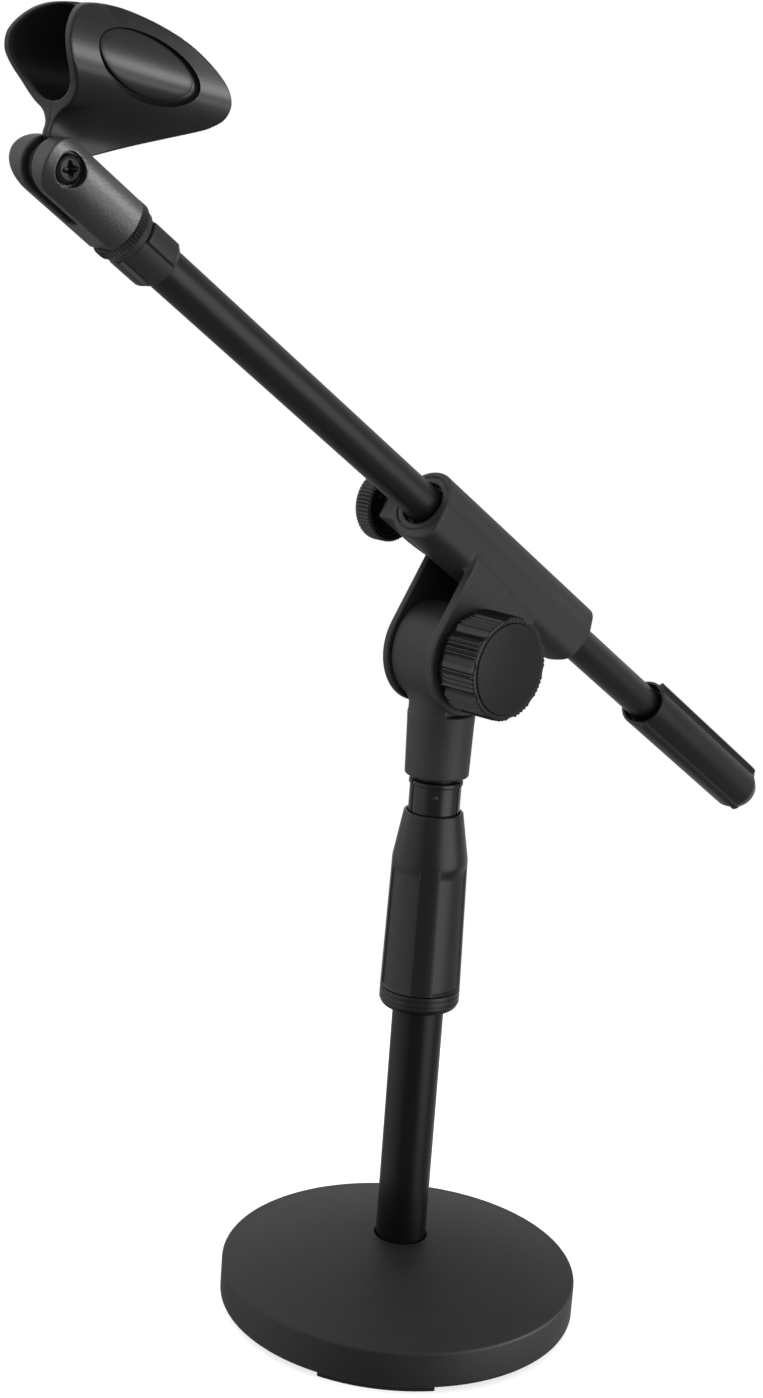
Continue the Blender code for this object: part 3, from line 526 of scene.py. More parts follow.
# Its many pale specks are painted glints of the cast grain.
CAST = finish("adapter_cast", (0.0280, 0.0280, 0.0287), 0.42, grain=0.090, grain_size=0.8, lumps=0.06,
              lump_size=1.8, edge_highlight=0.25, specular=0.6, dust_and_glints=0.12)
RUBBER = finish("pad_rubber", (0.010, 0.010, 0.010), 0.75, grain=0.05, grain_size=0.5, lumps=0.03,
                lump_size=2.0)
STEEL = finish("zinc_steel", (0.52, 0.52, 0.50), 0.32, 1.0, grain=0.006, grain_size=0.3, stretch=(1, 1, 6),
               scratches=0.15)
BLACK_STEEL = finish("black_screw", (0.006, 0.006, 0.007), 0.26, grain=0.002, grain_size=0.4, edge_highlight=0.4,
                     specular=0.5)
BRASS = finish("brass", (0.70, 0.50, 0.20), 0.30, 1.0, grain=0.006, grain_size=0.3, stretch=(1, 1, 5))
ACETAL = finish("acetal", (0.62, 0.62, 0.58), 0.35, grain=0.01, grain_size=0.5)

SLOTS = {part["node"]: part["material_slot"] for part in frame["record"]["subparts"]}
BODIES = {node: body for body, nodes in frame["record"]["behaviour"]["bodies"].items() for node in nodes}


def stand_for(node, mesh, where, material, smooth=35.0):
    """A fine piece that replaces the CAD node of the same shape."""
    points, faces = mesh
    name = node + "_fine"
    return add_piece(name, points, faces, where, material, BODIES[node], (node,), SLOTS[node], smooth)


# -------- base and column

BASE_LOW, BASE_HIGH = span("base_weight", COLUMN)
TUBE_LOW, TUBE_HIGH = span("outer_tube", COLUMN)
TUBE_R = TUBE_HIGH[0]
BOLT_HOLE_R = 5.3


def base_outline():
    """Half section of the base weight: domed top, upright rim, tube socket and recess under the bolt."""
    low, top, radius = BASE_LOW[2], BASE_HIGH[2], BASE_HIGH[0]
    socket, socket_floor = TUBE_R + GAP, 17.3
    recess, recess_top = 15, 11
    rim_top, dome_radius = top - 12.6, radius - 1.3
    dome = []
    steps = 24
    for i in range(1, steps + 1):
        r = dome_radius + (socket + 0.4 - dome_radius) * i / steps
        rise = 1 - ((r - socket) / (dome_radius - socket)) ** 1.5
        dome.append((r, rim_top + (top - rim_top) * rise, 0))
    return rounded([
        (recess, low, 0.6),
        (radius, low, 1.4),
        (radius, rim_top, 1.4),
        *dome,
        (socket, top - 0.4, 0.3),
        (socket, socket_floor, 0),
        (BOLT_HOLE_R, socket_floor, 0),
        (BOLT_HOLE_R, recess_top, 0),
        (recess, recess_top, 0.5),
    ], 0.4)


def foot_pad(node):
    """Curved pad around the middle of its CAD solid, slightly smaller at the floor and at the top."""
    inner, outer, middle_radius, half = 54, 67.5, 60.7, 19
    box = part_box(node)
    turn = math.degrees(math.atan2(box[0].y + box[1].y, box[0].x + box[1].x))
    start, end = turn - half, turn + half
    outline = arc((0, 0), outer, start, end, 40) + arc((0, 0), inner, end, start, 40)
    angle = math.radians(turn)
    centre = np.array([middle_radius * math.cos(angle), middle_radius * math.sin(angle), 0])
    flat = np.array([(x, y, 0.0) for x, y in outline]) - centre
    levels = ((0.0, 0.992), (0.25, 1.0), (1.9, 1.0), (2.2, 0.994))
    return loft([flat * (scale, scale, 1) + centre + (0, 0, height) for height, scale in levels])


def make_base():
    """Base weight, its pads, and the bolt that holds the tube."""
    stand_for("base_weight", turned(base_outline(), 256), COLUMN, COAT)
    for node in ("foot_pad_1", "foot_pad_2", "foot_pad_3"):
        stand_for(node, foot_pad(node), COLUMN, RUBBER)
    stand_for("centre_pad", turned(rod(22, 0, 2.2, 0.5), 96), COLUMN, RUBBER)
    stand_for("base_washer", turned(ring(BOLT_HOLE_R, 12.5, 9.2, 10.7, 0.2), 72), COLUMN, STEEL)
    bolt = rounded([(0, 3.4, 0), (9.2, 3.4, 0.8), (9.2, 8.9, 0.3), (5, 8.9, 0), (5, 36, 0.5), (0, 36, 0)])
    stand_for("base_bolt", turned(bolt, 96, hexagon(8.0, 5.2)), COLUMN, STEEL)
    stand_for("tube_foot_insert", turned(ring(BOLT_HOLE_R, 8.4, 18.2, 40, 0.3), 72), COLUMN, STEEL)


def make_column():
    """Outer tube, sliding post tube and the threaded collar of the clutch."""
    wall = 1.2
    tube = ring(TUBE_R - wall, TUBE_R, TUBE_LOW[2], TUBE_HIGH[2])
    stand_for("outer_tube", turned(tube, 128), COLUMN, TUBE)
    low, high = span("inner_tube", COLUMN)
    stand_for("inner_tube", turned(ring(6.9, high[0], low[2], high[2]), 128), COLUMN, TUBE)
    stand_for("clutch_thread_collar", turned(ring(TUBE_R + GAP, 12.2, 142, 172, 0.5), 96), COLUMN, MOULDED)


def make_collet():
    """Split collet with a small raised dot on the side towards the camera."""
    top = span("clutch_collet", COLUMN)[1][2]
    bore = 8.3
    outline = rounded([
        (bore, 173),
        (11.6, 173),
        (11.6, 176, 1),
        (10.4, 179, 1),
        (10.4, 190, 1),
        (9.8, 196, 1),
        (9.8, top - 1.9, 0.2),
        (10.3, top - 1.5, 0.2),
        (10.3, top, 0.5),
        (bore, top, 0.3),
    ], 0.3)
    dot_angle, dot_height, dot_rise = math.radians(225), top - 5.3, 0.45

    def dotted(angles, radius, height):
        away = np.hypot((angles - dot_angle) * radius, height - dot_height)
        return radius + dot_rise * smoothstep((1.0 - away) / 0.9) * (radius > 9.5)

    collet = stand_for("clutch_collet", turned(finer(outline, 0.3, 9.6), 288, dotted), COLUMN, GLOSSY)
    slits = [box_tool((6, -0.4, 180), (13, 0.4, 220), COLUMN, 45 + 120 * i) for i in range(3)]
    cut(collet, *slits)


def make_glide():
    """Bush under the post, with a spigot that plugs into it."""
    low, high = span("tube_glide", COLUMN)
    radius, spigot, bore = high[0], 6.6, 4.0
    shoulder = span("inner_tube", COLUMN)[0][2] - GAP
    outline = rounded([
        (bore, low[2]),
        (radius - 0.5, low[2]),
        (radius, low[2] + 0.6),
        (radius, shoulder),
        (spigot, shoulder),
        (spigot, high[2]),
        (bore, high[2]),
    ], 0.15)
    stand_for("tube_glide", turned(outline, 96), COLUMN, ACETAL)


CLUTCH_LOW, CLUTCH_HIGH = span("clutch_grip", COLUMN)


def make_clutch():
    """Grip with four flat panels between ribs, one rib towards the camera."""
    low, top = CLUTCH_LOW[2], CLUTCH_HIGH[2]
    cone, nose, bore = 185.0, 11.3, 12.5
    outline = rounded([
        (bore, low, 0.3),
        (15.4, low, 0.3),
        (14.4, cone, 6),
        (nose, top, 0.5),
        (10.1, top, 0.3),
        (10.1, 196.5),
        (10.7, 190.5),
        (10.7, 179.5),
        (11.9, 176.5),
        (11.9, 172.5),
        (bore, 172.4),
    ], 0.3)
    half, panel_low, panel_high = math.radians(30.5), low + 0.5, 184.0
    rib_at = math.radians(46)

    def shape(angles, radius, height):
        if radius < 12.6 or height > cone + 8:
            return np.full(len(angles), float(radius))
        off = (angles - rib_at) % (math.pi / 2) - math.pi / 4
        edge = smoothstep((half - np.abs(off)) / math.radians(1.6))
        level = smoothstep((height - panel_low) / 0.7) * smoothstep((panel_high - height) / 5.0)
        flat = (radius - 0.5) * (0.65 + 0.35 * math.cos(half) / np.cos(np.minimum(np.abs(off), half)))
        return radius + (flat - radius) * edge * level

    stand_for("clutch_grip", turned(finer(outline, 0.5, 12.6), 480, shape), COLUMN, GRIP)


def make_end_ring():
    """Ring under the clutch grip, with two fine grooves."""
    bottom, top, bore, radius, groove = 126.0, CLUTCH_LOW[2] - GAP, 10.2, 15.4, 0.3
    outline = [(bore, bottom, 0.3), (14.3, bottom, 1.2), (radius, bottom + 2.2, 1.2)]
    for height in (bottom + 3.0, bottom + 5.2):
        outline += [
            (radius, height, 0.1),
            (radius - groove, height + 0.2, 0.1),
            (radius - groove, height + 0.5, 0.1),
            (radius, height + 0.7, 0.1),
        ]
    outline += [(radius, top, 0.25), (bore, top, 0.3)]
    stand_for("clutch_end_ring", turned(rounded(outline, 0.3), 180), COLUMN, GRIP)


# -------- head

def hub_field(x, y, z):
    """Neck and tilt drum. The axes are the column's, with z in millimetres above the table."""
    low, pivot = 217.5, PIVOT.z / MM
    top = pivot - 22.0
    r = np.hypot(x, y)
    neck = both(r - (12.15 + 0.025 * (z - low)), between(z, low, top), 0.9)
    web = both(both(r - 12.5, between(z, top - 3, pivot)), np.abs(y) - 9.9)
    drum = both(np.hypot(x, z - pivot) - 19.0, np.abs(y) - 10.0, 0.7)
    solid = either(either(neck, web, 0.5), drum, 2.5)
    solid = both(solid, either(np.abs(y) - 10.0, z - top - 0.2), 0.3)
    solid = without(solid, both(r - 8.3, z - 241.0), 0.3)
    solid = without(solid, both(np.hypot(x, z - 229.0) - 2.8, -y), 0.3)
    solid = without(solid, np.hypot(x, z - pivot) - 4.3, 0.3)
    return without(solid, both(np.hypot(x, z - pivot) - 12.1, 9.1 - np.abs(y)), 0.2)


def sleeve_section(n, y):
    """The sleeve's section about the boom axis: round above and behind, squarer towards the cheeks."""
    tube = both(np.hypot(n, y) - 13.2, -12.2 - y, 8.0)
    corner = both(both(np.abs(n + 4.0) - 8.8, -12.1 - y, 5.5), y - 3.0, 5.5)
    return either(tube, corner, 3.0)


def clamp_field(n, y, s):
    """Boom sleeve, cheeks and thumb-screw boss. n points from the tilt axis to the boom, s along the boom."""
    axis, low, high = 38.0, -54.0, 46.0
    up = n - axis
    tail = -51.8 - 0.26 * (up + 12.0)
    sleeve = both(sleeve_section(up, y), np.maximum(tail - s, s - high), 1.0)
    boss_far = 13.4 + 4.8 * smoothstep((s - 2.0) / 26.0)
    boss = both(both(np.abs(up) - 8.6, y - boss_far, 1.2), both(between(s, 0.0, high), -y), 1.0)
    solid = either(sleeve, boss, 1.5)
    bridge = both(both(np.abs(y) - 11.6, between(s, -14.0, 0.0)), between(n, 20.6, 32.0))
    solid = either(solid, bridge, 0.8)
    cheeks = ((-1, 21.2, 29.4 + 0.09 * s, 13.6, 2.4), (1, 20.5, 29.5, 12.9, 0.9))
    for side, radius, top, outside, fillet in cheeks:
        blade = either(np.hypot(n, s) - radius, both(np.abs(s) - radius, between(n, 0.0, top)))
        plate = both(blade, between(side * y, 10.3, outside), 0.45)
        solid = either(solid, plate, fillet)
    around = np.hypot(up, y)
    solid = without(solid, around - 7.35, 0.3)
    solid = without(solid, both(around - 8.5, 42.5 - s), 0.3)
    groove = both(np.abs(around - 10.8) - 0.35, (high - 0.5) - s)
    solid = without(solid, groove)
    solid = without(solid, both(around - 8.3, s - (low + 2.0)), 0.3)
    solid = without(solid, np.hypot(n, s) - 4.3, 0.3)
    return without(solid, both(np.hypot(up, s - 37.5) - 3.3, -y), 0.4)


def make_head():
    """Swivel hub and boom clamp, meshed from their distance fields."""
    high = span("swivel_hub", COLUMN)[1]
    mesh = field_mesh(hub_field, (-20, -13.5, 216.5), (20, 13.5, high[2] + 1), 0.45)
    stand_for("swivel_hub", mesh, COLUMN, MOULDED)
    low, high = span("boom_clamp", CLAMP)
    stand_for("boom_clamp", field_mesh(clamp_field, low - 3.5, high + 1, 0.42), CLAMP, MOULDED)


def make_pivot():
    """Tilt bolt and its washers, along the tilt axis."""
    for node in ("pivot_washer_near", "pivot_washer_far", "friction_washer_near", "friction_washer_far"):
        low, high = span(node, KNOB)
        material = STEEL if "pivot" in node else ACETAL
        stand_for(node, turned(ring(4.3, high[0], low[2], high[2], 0.15), 96), KNOB, material)
    head, shank = -19.6, -15.2
    outline = [(0, head, 0), (7.5, head, 0.8), (7.5, shank, 0.3), (4, shank, 0), (4, 29, 0.5), (0, 29, 0)]
    bolt = rounded(outline)
    stand_for("pivot_bolt", turned(bolt, 96, hexagon(6.5, 4.2)), KNOB, STEEL)


def make_grub_screw():
    """Socket screw that holds the neck on the post."""
    screw_place = place((0, 0, 0.229), (1, 0, 0), FAR)
    low, high = span("neck_grub_screw", screw_place)
    grub = stand_for("neck_grub_screw", turned(rod(2.5, low[2], high[2]), 48), screw_place, BLACK_STEEL)
    socket = turned(rod(1.3, high[2] - 2, high[2] + 2, 0), 6)
    cut(grub, add_piece("cutter", *socket, screw_place, PLAIN, None))


# -------- knobs

def knob_rim(angles):
    """Inset of the tilt knob's rim: ten scallops between bands of fine ribs."""
    count, ribs, band = 10, 4, 0.58
    part = (angles * count / (2 * math.pi)) % 1.0
    scallop = 1.15 * np.sin(math.pi * np.clip((part - band) / (1 - band), 0, 1)) ** 0.7
    rib = 0.85 * np.abs(np.sin(math.pi * part / band * ribs)) * (part < band)
    return scallop + rib


def make_tilt_knob():
    """Scalloped knob body with a cap in its well, and the nut inside."""
    low, high = span("tilt_knob", KNOB)
    back, front, radius, well, nut_top = low[2], high[2] + 0.1, 19.4, 17.1, 26.8
    outline = rounded([
        (8.2, back, 0.3),
        (16.2, back + 0.6, 0.3),
        (19.6, back, 0.7),
        (radius, front, 0.8),
        (well, front, 0.12),
        (well, front - 1.6, 0),
        (4.5, front - 1.6, 0),
        (4.5, nut_top, 0),
        (6.9, nut_top, 0),
        (6.9, back, 0.3),
    ])

    def shape(angles, r, h):
        reach = smoothstep((r - 18.2) / 0.9)
        fade = smoothstep((front - 0.2 - h) / 1.0)
        return r - knob_rim(angles) * reach * (0.6 + 0.4 * fade)

    stand_for("tilt_knob", turned(finer(outline, 1.0, 17.6), 720, shape), KNOB, GLOSSY, 40)
    cap_radius, cap_back = well - 0.15, front - 1.3
    cap = rounded([
        (0, cap_back, 0),
        (cap_radius, cap_back, 0.1),
        (cap_radius, front + 0.35, 0.3),
        (0, front + 0.4, 0),
    ], 0.2)
    stand_for("tilt_knob_cap", turned(cap, 160), KNOB, CAP)
    nut = ring(4.3, 6.5, 16.2, nut_top - 0.1)
    stand_for("tilt_knob_nut", turned(nut, 72, hexagon(5.6, 4.8)), KNOB, BRASS)


def make_thumb_knob():
    """Knurled knob with a hollow back and a shallow dish in front."""
    low, high = span("clamp_knob", THUMB)
    back, front, radius, screw_end = low[2], high[2], 13.35, 27.4
    hollow, dish = back + 3.4, front - 0.5
    outline = rounded([
        (3.3, back, 0.2),
        (5.5, back, 0.3),
        (5.5, hollow, 0.3),
        (11.4, hollow, 0.3),
        (11.4, back, 0.3),
        (12.5, back, 0.3),
        (radius, back + 0.8, 0.5),
        (radius, front - 0.8, 0.5),
        (12.3, front, 0.4),
        (10.5, front, 0.4),
        (9.8, dish, 0.4),
        (1.2, dish, 0),
        (1.2, screw_end, 0),
        (3.3, screw_end, 0),
    ], 0.3)

    def shape(angles, r, h):
        ribs = 0.5 * np.abs(np.sin(angles * 30)) ** 0.7
        return r - ribs * smoothstep((r - 12.4) / 0.8)

    stand_for("clamp_knob", turned(outline, 480, shape), THUMB, GLOSSY, 40)


def make_thumb_screw():
    """Threaded screw and the shoe at its tip."""
    low, high = span("clamp_screw", THUMB)
    length = high[2] - low[2]
    pitch, radius, depth = 1.0, 3.0, 0.35
    count = int(length / pitch * 4)
    thread = [(radius - depth * abs((i % 4) - 2) / 2, low[2] + length * i / count) for i in range(count + 1)]
    outline = [(0, low[2])] + thread + [(0, high[2])]
    stand_for("clamp_screw", turned(outline, 48), THUMB, STEEL, 60)
    low, high = span("clamp_shoe", THUMB)
    stand_for("clamp_shoe", turned(rod(2.6, low[2], high[2], 0.2), 48), THUMB, ACETAL)


# -------- boom

def three_ribs(angles, first, half, ramp):
    """1 on three ribs and 0 between them. The first rib, half a rib's width and its ramp are in degrees."""
    off = (angles - math.radians(first) + math.pi / 3) % (2 * math.pi / 3) - math.pi / 3
    return smoothstep((math.radians(half) - np.abs(off)) / math.radians(ramp))


def make_boom():
    """Boom tube and the plug in its tail."""
    low, high = span("boom_tube", BOOM)
    radius, wall = 7.05, 1.1
    stand_for("boom_tube", turned(ring(radius - wall, radius, low[2], high[2]), 128), BOOM, BOOM_TUBE)
    plug = ring(2, 5.65, low[2] + 1, low[2] + 16)
    stand_for("boom_end_plug", turned(plug, 64), BOOM, STEEL)


def make_end_grip():
    """Grip on the tail of the boom, with three long ribs."""
    low, high = span("end_grip", BOOM)
    bottom, mouth, radius, bore, tube_end = low[2], high[2], 10.0, 7.35, -198.6
    outline = rounded([
        (0, bottom, 0),
        (7.6, bottom, 2.4),
        (radius, bottom + 6.0, 5),
        (radius, mouth, 0.5),
        (8.7, mouth, 0.3),
        (8.7, mouth - 6),
        (bore, mouth - 6),
        (bore, tube_end),
        (0, tube_end, 0),
    ], 0.2, closed=False, steps=8)

    def ribbed(angles, r, h):
        height = 1.7 * smoothstep((h - bottom - 1.5) / 5.0) * smoothstep((mouth + 0.4 - h) / 0.8)
        return r + three_ribs(angles, 90, 8.5, 3) * height * smoothstep((r - 9.0) / 0.9)

    stand_for("end_grip", turned(outline, 240, ribbed), BOOM, GRIP)


def make_boom_end():
    """Collar with three lugs on the front end, and the stud inside it."""
    low, high = span("boom_end_collar", BOOM)
    bottom, top, bore = low[2], high[2], 7.35
    outline = rounded([(bore, bottom + 1.2), (8.4, bottom + 1.2, 0.4), (8.4, top, 0.3), (bore, top)], 0.2)

    def lugs(angles, r, h):
        height = 1.35 * smoothstep((h - bottom - 1.2) / 2.6) * smoothstep((top + 0.2 - h) / 0.6)
        return r + three_ribs(angles, 48, 26, 4) * height * smoothstep((r - 8.0) / 0.3)

    stand_for("boom_end_collar", turned(finer(outline, 0.5, 8.2), 240, lugs), BOOM, MOULDED)
    outline = rounded([(2.4, 186), (5.65, 186), (5.65, 206.8), (7.8, 207.2), (7.8, 221.5), (2.4, 221.5)], 0.3)
    stand_for("boom_end_stud", turned(outline, 96), BOOM, STEEL)


def make_lock_ring():
    """Stepped ring with a knurled edge."""
    low, high = span("lock_ring", BOOM)
    bottom, top, bore, neck, radius = low[2], high[2], 8.2, 9.4, 10.4
    step = top - 3.0
    outline = rounded([
        (bore, bottom),
        (neck, bottom, 0.2),
        (neck, step, 0.2),
        (radius, step, 0.4),
        (radius, top, 0.4),
        (bore, top),
    ], 0.3)

    def knurled(angles, r, h):
        return r - 0.75 * np.abs(np.sin(angles * 27)) * smoothstep((r - 9.6) / 0.5)

    stand_for("lock_ring", turned(outline, 540, knurled), BOOM, MOULDED, 30)


# -------- clip adapter and clip

EAR = (CLIP_PIVOT - BOOM_FOOT).dot(BOOM_DIR) / MM


def adapter_field(q, y, s):
    """Threaded barrel with two flats, split into two ears. q is across the ears, y to the far side."""
    around = np.hypot(q, y)
    side = either(np.hypot(q, s - EAR) - 9.0, both(np.abs(q) - 9.0, s - EAR))
    solid = both(both(around - 10.8, side, 0.45), 213.6 - s, 0.5)
    slot = either(np.hypot(y, s - 228.4) - 2.9, both(np.abs(y) - 2.8, 228.4 - s))
    solid = without(solid, slot, 0.5)
    screw = np.hypot(q, s - EAR)
    solid = without(solid, both(screw - 5.3, 7.6 + y), 0.3)
    solid = without(solid, screw - 2.2, 0.2)
    solid = without(solid, both(screw - 4.5, 6.6 - y), 0.2)
    return without(solid, both(around - 8.2, s - 222.3), 0.3)


CLIP_WALL = 3.4
# Side view of the clip, from its lug up around the wide end to the narrow end and back.
CLIP_SIDE = smooth_loop([
    (-4.4, 7.0), (-5.0, 12.0), (-5.8, 16.8), (-8.2, 21.6), (-11.6, 25.4), (-14.8, 29.5),
    (-16.1, 34.5), (-14.7, 39.5), (-11.6, 43.8), (-7.0, 46.6), (0.0, 48.6), (8.0, 49.5),
    (17.0, 49.5), (26.0, 48.5), (33.5, 46.6), (40.4, 43.6), (45.6, 39.9), (48.4, 35.4),
    (48.6, 30.8), (46.0, 27.4), (42.0, 24.5), (27.0, 15.9), (11.9, 7.2), (3.0, 2.4),
], 6)
PAD_CENTRE, PAD_SIZE = (14.6, 35.2), (20.1, 9.7)


def clip_round(g, v):
    """Radius of the clip's round section at g, the height of its middle, and its narrowing at height v."""
    part = (g + 16.0) / 63.0
    radius = 19.0 - 7.0 * part
    middle = 31.5 + 6.5 * part
    return radius, middle, 1.0 - 0.21 * smoothstep((v - middle + 0.35 * radius) / (1.1 * radius))


def clip_field(g, v, m):
    """Spring jaws on their keel and lug.

    g runs to the narrow end, v up through the open side and m to the near side.
    """
    radius, middle, narrow = clip_round(g, v)
    around = np.hypot(v - middle, m / narrow)
    fillet = 4.5 + 5.5 * smoothstep((g + 5.0) / 12.0) + 2.6 * smoothstep((g - 6.0) / 26.0)
    solid = either(around - radius, np.abs(m) - 2.2, fillet)
    solid = both(solid, inside_outline(g, v, CLIP_SIDE), 0.55)
    lug = both(np.hypot(g, v) - 7.2, np.abs(m) - 2.5, 0.5)
    solid = either(solid, lug, 1.0)
    solid = without(solid, around - (radius - CLIP_WALL), 0.8)
    solid = without(solid, both(np.abs(m) - 4.0, middle - v), 1.1)
    return without(solid, np.hypot(g, v) - 2.2, 0.3)


def make_adapter():
    """Threaded adapter with its two ears, meshed from its distance field."""
    low, high = span("clip_adapter", ADAPTER)
    stand_for("clip_adapter", field_mesh(adapter_field, low - 0.5, high + 0.5, 0.32), ADAPTER, CAST)


def cross_recess(floor):
    """Tapered four-pointed star that cuts the driver's recess into a screw head."""
    angles = np.arange(80) * 2 * math.pi / 80
    star = 1.15 + 0.95 * np.abs(np.cos(2 * angles)) ** 3
    rings = []
    for scale, height in ((0.35, floor - 0.2), (0.85, floor + 0.9), (1.5, floor + 2.2), (1.7, floor + 3.0)):
        x = star * scale * np.cos(angles + 0.4)
        y = star * scale * np.sin(angles + 0.4)
        rings.append(np.stack([x, y, np.full(len(angles), height)], -1))
    return add_piece("cutter", *loft(rings), CLIP, PLAIN, None)


def make_clip_screw():
    """Cross-head screw through the ears, and its nut."""
    tip, floor, shank = -9.4, 7.9, 1.9
    outline = rounded([
        (0, tip, 0),
        (shank, tip, 0.3),
        (shank, floor, 0),
        (4.5, floor, 0.3),
        (4.5, floor + 0.9, 0.4),
        (3.4, floor + 1.9, 1.2),
        (0, floor + 2.3, 0),
    ])
    screw = stand_for("clip_screw", turned(outline, 96), CLIP, BLACK_STEEL)
    cut(screw, cross_recess(floor))
    nut = ring(2.2, 4.2, -9.2, -6.9)
    stand_for("clip_nut", turned(nut, 72, hexagon(3.64, 3.0)), CLIP, STEEL)


def oval(levels, shift, inset, sign):
    """Oval skin that follows the clip's round side.

    A level is a share of the oval's size and a height over the side. The sign is 1 for the near side.
    """
    angles = np.arange(160) * 2 * math.pi / 160
    rings = []
    for share, rise in levels:
        g = PAD_CENTRE[0] + shift[0] + (PAD_SIZE[0] - inset[0]) * share * np.cos(angles)
        v = PAD_CENTRE[1] + shift[1] + (PAD_SIZE[1] - inset[1]) * share * np.sin(angles)
        radius, middle, narrow = clip_round(g, v)
        m = narrow * np.sqrt((radius + rise) ** 2 - (v - middle) ** 2)
        rings.append(np.stack([g, v, m * sign], -1))
    return loft(rings)


def make_pad(name, sign):
    """Crowned oval pad of one jaw, set towards the wide end of its recess so that a crescent stays open."""
    crown, edge = 0.5, 0.3
    levels = [(1.0, -1.3), (1.0, -edge)]
    levels += [(1 - 0.03 * (1 - math.cos(t)), -edge * (1 - math.sin(t))) for t in (0.4, 0.8, 1.2)]
    levels += [(k / 16, crown * (1 - (k / 16) ** 2) ** 0.8) for k in range(15, 0, -1)]
    mesh = oval(levels, (-1.35, 0.45), (1.9, 1.15), sign)
    add_piece(name, *mesh, CLIP, CLIP_SKIN, "clip", slot=SLOTS["clip_jaws"], smooth=50)


def make_clip():
    """Spring clip with a seam in its keel, an oval recess on each side and a pad in each recess."""
    low, high = span("clip_jaws", CLIP)
    mesh = field_mesh(clip_field, low - 0.5, high + (2.0, 0.5, 0.5), 0.42)
    jaws = stand_for("clip_jaws", mesh, CLIP, CLIP_SKIN)
    seam = box_tool((-9.0, -0.5, -0.14), (-3.6, 18.0, 0.14), CLIP)
    recess = [(k / 10, -1.5) for k in range(1, 10)] + [(0.99, -1.5), (1.0, -1.3), (1.0, 3.0)]
    tools = [add_piece("cutter", *oval(recess, (0, 0), (0, 0), sign), CLIP, PLAIN, None) for sign in (1, -1)]
    cut(jaws, seam, *tools)
    make_pad("clip_pad_near", 1)
    make_pad("clip_pad_far", -1)


# -------- stage

EVEN_LIGHT = 0.224
# Degrees to the right of the camera's side, degrees up, outer and inner half angle in degrees, and strength.
BRIGHT_AREAS = (
    (-82, 0, 60, 15, 0.50),
    (58, 0, 38, 8, 1.65),
    (118, 0, 50, 15, 0.16),
    (170, 0, 60, 20, 0.22),
    (10, 65, 60, 20, 0.42),
    (-130, 40, 55, 15, 0.50),
)
# Name, degrees to the right, degrees up, size in metres and power of the lamps that look at the clip.
CLIP_LAMPS = (
    ("clip_light", 92, 16, (0.26, 0.16), 1.35),
    ("keel_light", 89, -16, (0.20, 0.08), 0.35),
)


def toward_camera(turn, rise):
    """Direction at turn degrees to the right of the camera's side of the object, and rise degrees up."""
    angle = math.radians(turn) + CAMERA_AZIMUTH
    level = math.cos(math.radians(rise))
    return math.sin(angle) * level, -math.cos(angle) * level, math.sin(math.radians(rise))


def glow(tree, direction, toward, wide, narrow, strength):
    """Light from around one direction: full within narrow degrees of it, none past wide degrees."""
    inputs = {0: direction, 1: toward}
    aim = add_node(tree, "ShaderNodeVectorMath", inputs, operation="DOT_PRODUCT").outputs["Value"]
    outside, inside = math.cos(math.radians(wide)), math.cos(math.radians(narrow))
    settings = {"Value": aim, "From Min": outside, "From Max": inside, "To Min": 0.0, "To Max": strength}
    return add_node(tree, "ShaderNodeMapRange", settings, interpolation_type="SMOOTHSTEP").outputs["Result"]


def make_stage():
    """White floor that neither shows in the stand's dark finishes nor lights them."""
    radius = 330
    outline = [(x, y, 0.0) for x, y in arc((0, 0), radius, 0, 355, 71)]
    material = finish("studio_floor", (0.93, 0.93, 0.93), 0.9, specular=0.0, mottle=0.01)
    floor = add_piece("floor", outline, [tuple(range(len(outline)))], COLUMN, material, None)
    floor.visible_glossy = False
    floor.visible_diffuse = False


def make_world():
    """Even light with brighter areas at the sides, behind and above, and a white backdrop for the camera."""
    world = bpy.data.worlds.new("studio")
    bpy.context.scene.world = world
    world.use_nodes = True
    tree = world.node_tree
    direction = add_node(tree, "ShaderNodeTexCoord").outputs["Generated"]
    light = EVEN_LIGHT
    for turn, rise, wide, narrow, strength in BRIGHT_AREAS:
        light = plus(tree, light, glow(tree, direction, toward_camera(turn, rise), wide, narrow, strength))
    seen = add_node(tree, "ShaderNodeLightPath").outputs["Is Camera Ray"]
    strength = add_node(tree, "ShaderNodeMix", {0: seen, 2: light, 3: 1.0}, data_type="FLOAT").outputs[0]
    tree.links.new(strength, tree.nodes["Background"].inputs["Strength"])
    tree.nodes["Background"].inputs["Color"].default_value = (1.0, 1.0, 1.0, 1.0)


def add_softbox(name, middle, turn, rise, distance, size, power):
    """A soft light that looks at the middle, turn degrees to the right of the camera's side and rise up."""
    light = bpy.data.lights.new(name, "AREA")
    light.shape = "RECTANGLE"
    light.size, light.size_y = size
    light.energy = power
    obj = bpy.data.objects.new(name, light)
    away = Vector(toward_camera(turn, rise))
    obj.location = middle + away * distance
    obj.rotation_euler = away.to_track_quat("Z", "Y").to_euler()
    obj.visible_camera = False
    bpy.context.scene.collection.objects.link(obj)
    return obj


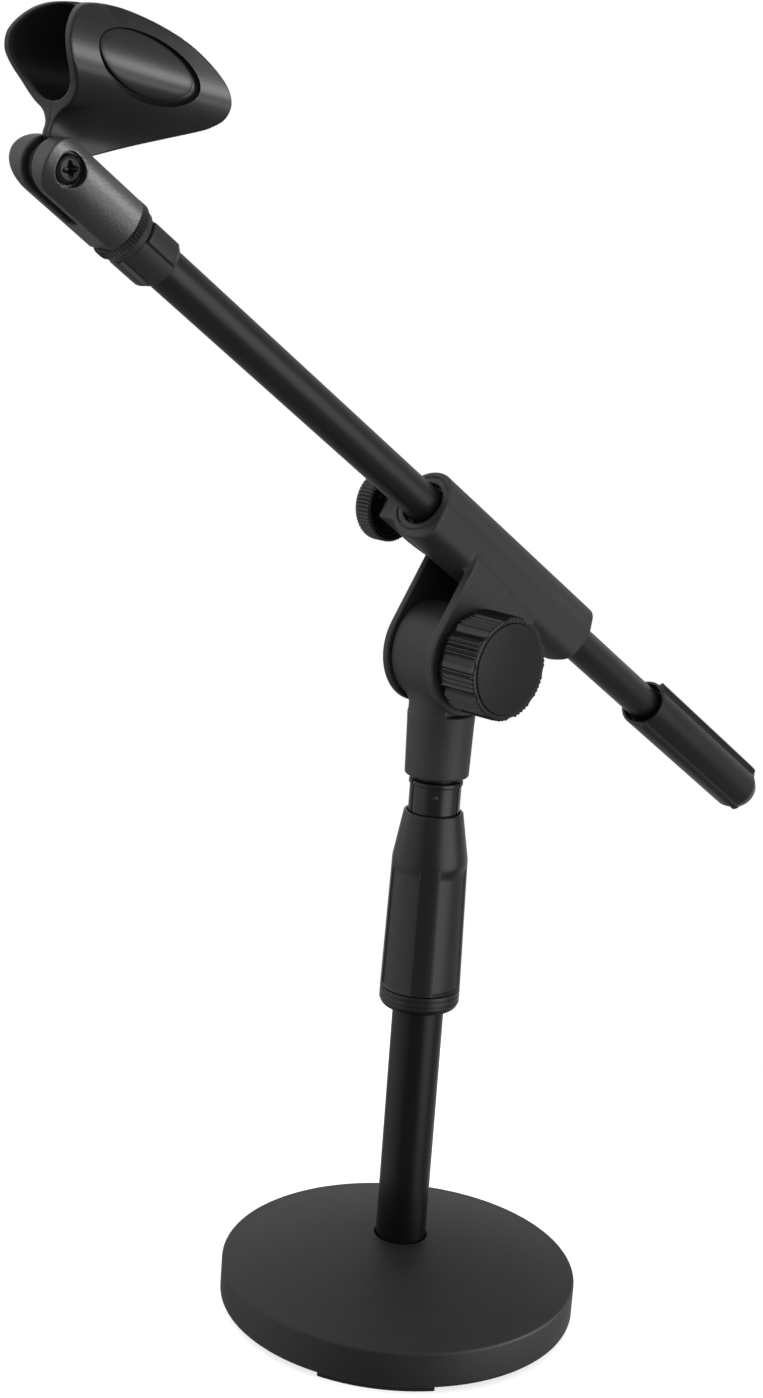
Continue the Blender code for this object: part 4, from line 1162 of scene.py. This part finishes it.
def shine_on(light, pieces):
    """Keeps a light to these pieces, so that it leaves no streaks on the others."""
    lit = bpy.data.collections.new(light.name + "_pieces")
    for piece in pieces:
        lit.objects.link(bpy.data.objects[piece])
    light.light_linking.receiver_collection = lit


def make_lights():
    """The floor's own light, which casts no shadow, and weak lamps for the base's rim and for the clip."""
    floor_light = add_softbox("floor_light", Vector((0.0, 0.0, 0.0)), 150, 80, 1.5, (1.2, 1.2), 22)
    floor_light.data.use_shadow = False
    shine_on(floor_light, ("floor",))
    base_light = add_softbox("base_light", Vector((0.0, 0.0, 0.01)), 80, 12, 0.5, (0.30, 0.20), 1.2)
    shine_on(base_light, ("base_weight_fine",))
    for name, turn, rise, size, power in CLIP_LAMPS:
        lamp = add_softbox(name, CLIP_PIVOT, turn, rise, 0.45, size, power)
        shine_on(lamp, ("clip_jaws_fine", "clip_pad_near", "clip_pad_far", "clip_adapter_fine"))


def make_camera():
    """Looks from the near left, slightly above, with a small roll."""
    back = Vector(toward_camera(0, CAMERA_ELEVATION))
    level = Vector((math.cos(CAMERA_AZIMUTH), math.sin(CAMERA_AZIMUTH), 0.0))
    upright = back.cross(level)
    right = level * math.cos(CAMERA_ROLL) + upright * math.sin(CAMERA_ROLL)
    up = upright * math.cos(CAMERA_ROLL) - level * math.sin(CAMERA_ROLL)
    data = bpy.data.cameras.new("camera")
    data.lens = CAMERA_LENS
    data.sensor_width = 36.0
    data.sensor_fit = "AUTO"
    camera = bpy.data.objects.new("camera", data)
    turn = Matrix((right, up, back)).transposed().to_4x4()
    camera.matrix_world = Matrix.Translation(CAMERA_AT) @ turn
    bpy.context.scene.collection.objects.link(camera)
    bpy.context.scene.camera = camera


make_base()
make_column()
make_collet()
make_glide()
make_clutch()
make_end_ring()
make_head()
make_pivot()
make_grub_screw()
make_tilt_knob()
make_thumb_knob()
make_thumb_screw()
make_boom()
make_end_grip()
make_boom_end()
make_lock_ring()
make_adapter()
make_clip_screw()
make_clip()
make_stage()
make_world()
make_lights()
make_camera()
bpy.context.scene.view_settings.view_transform = "Standard"
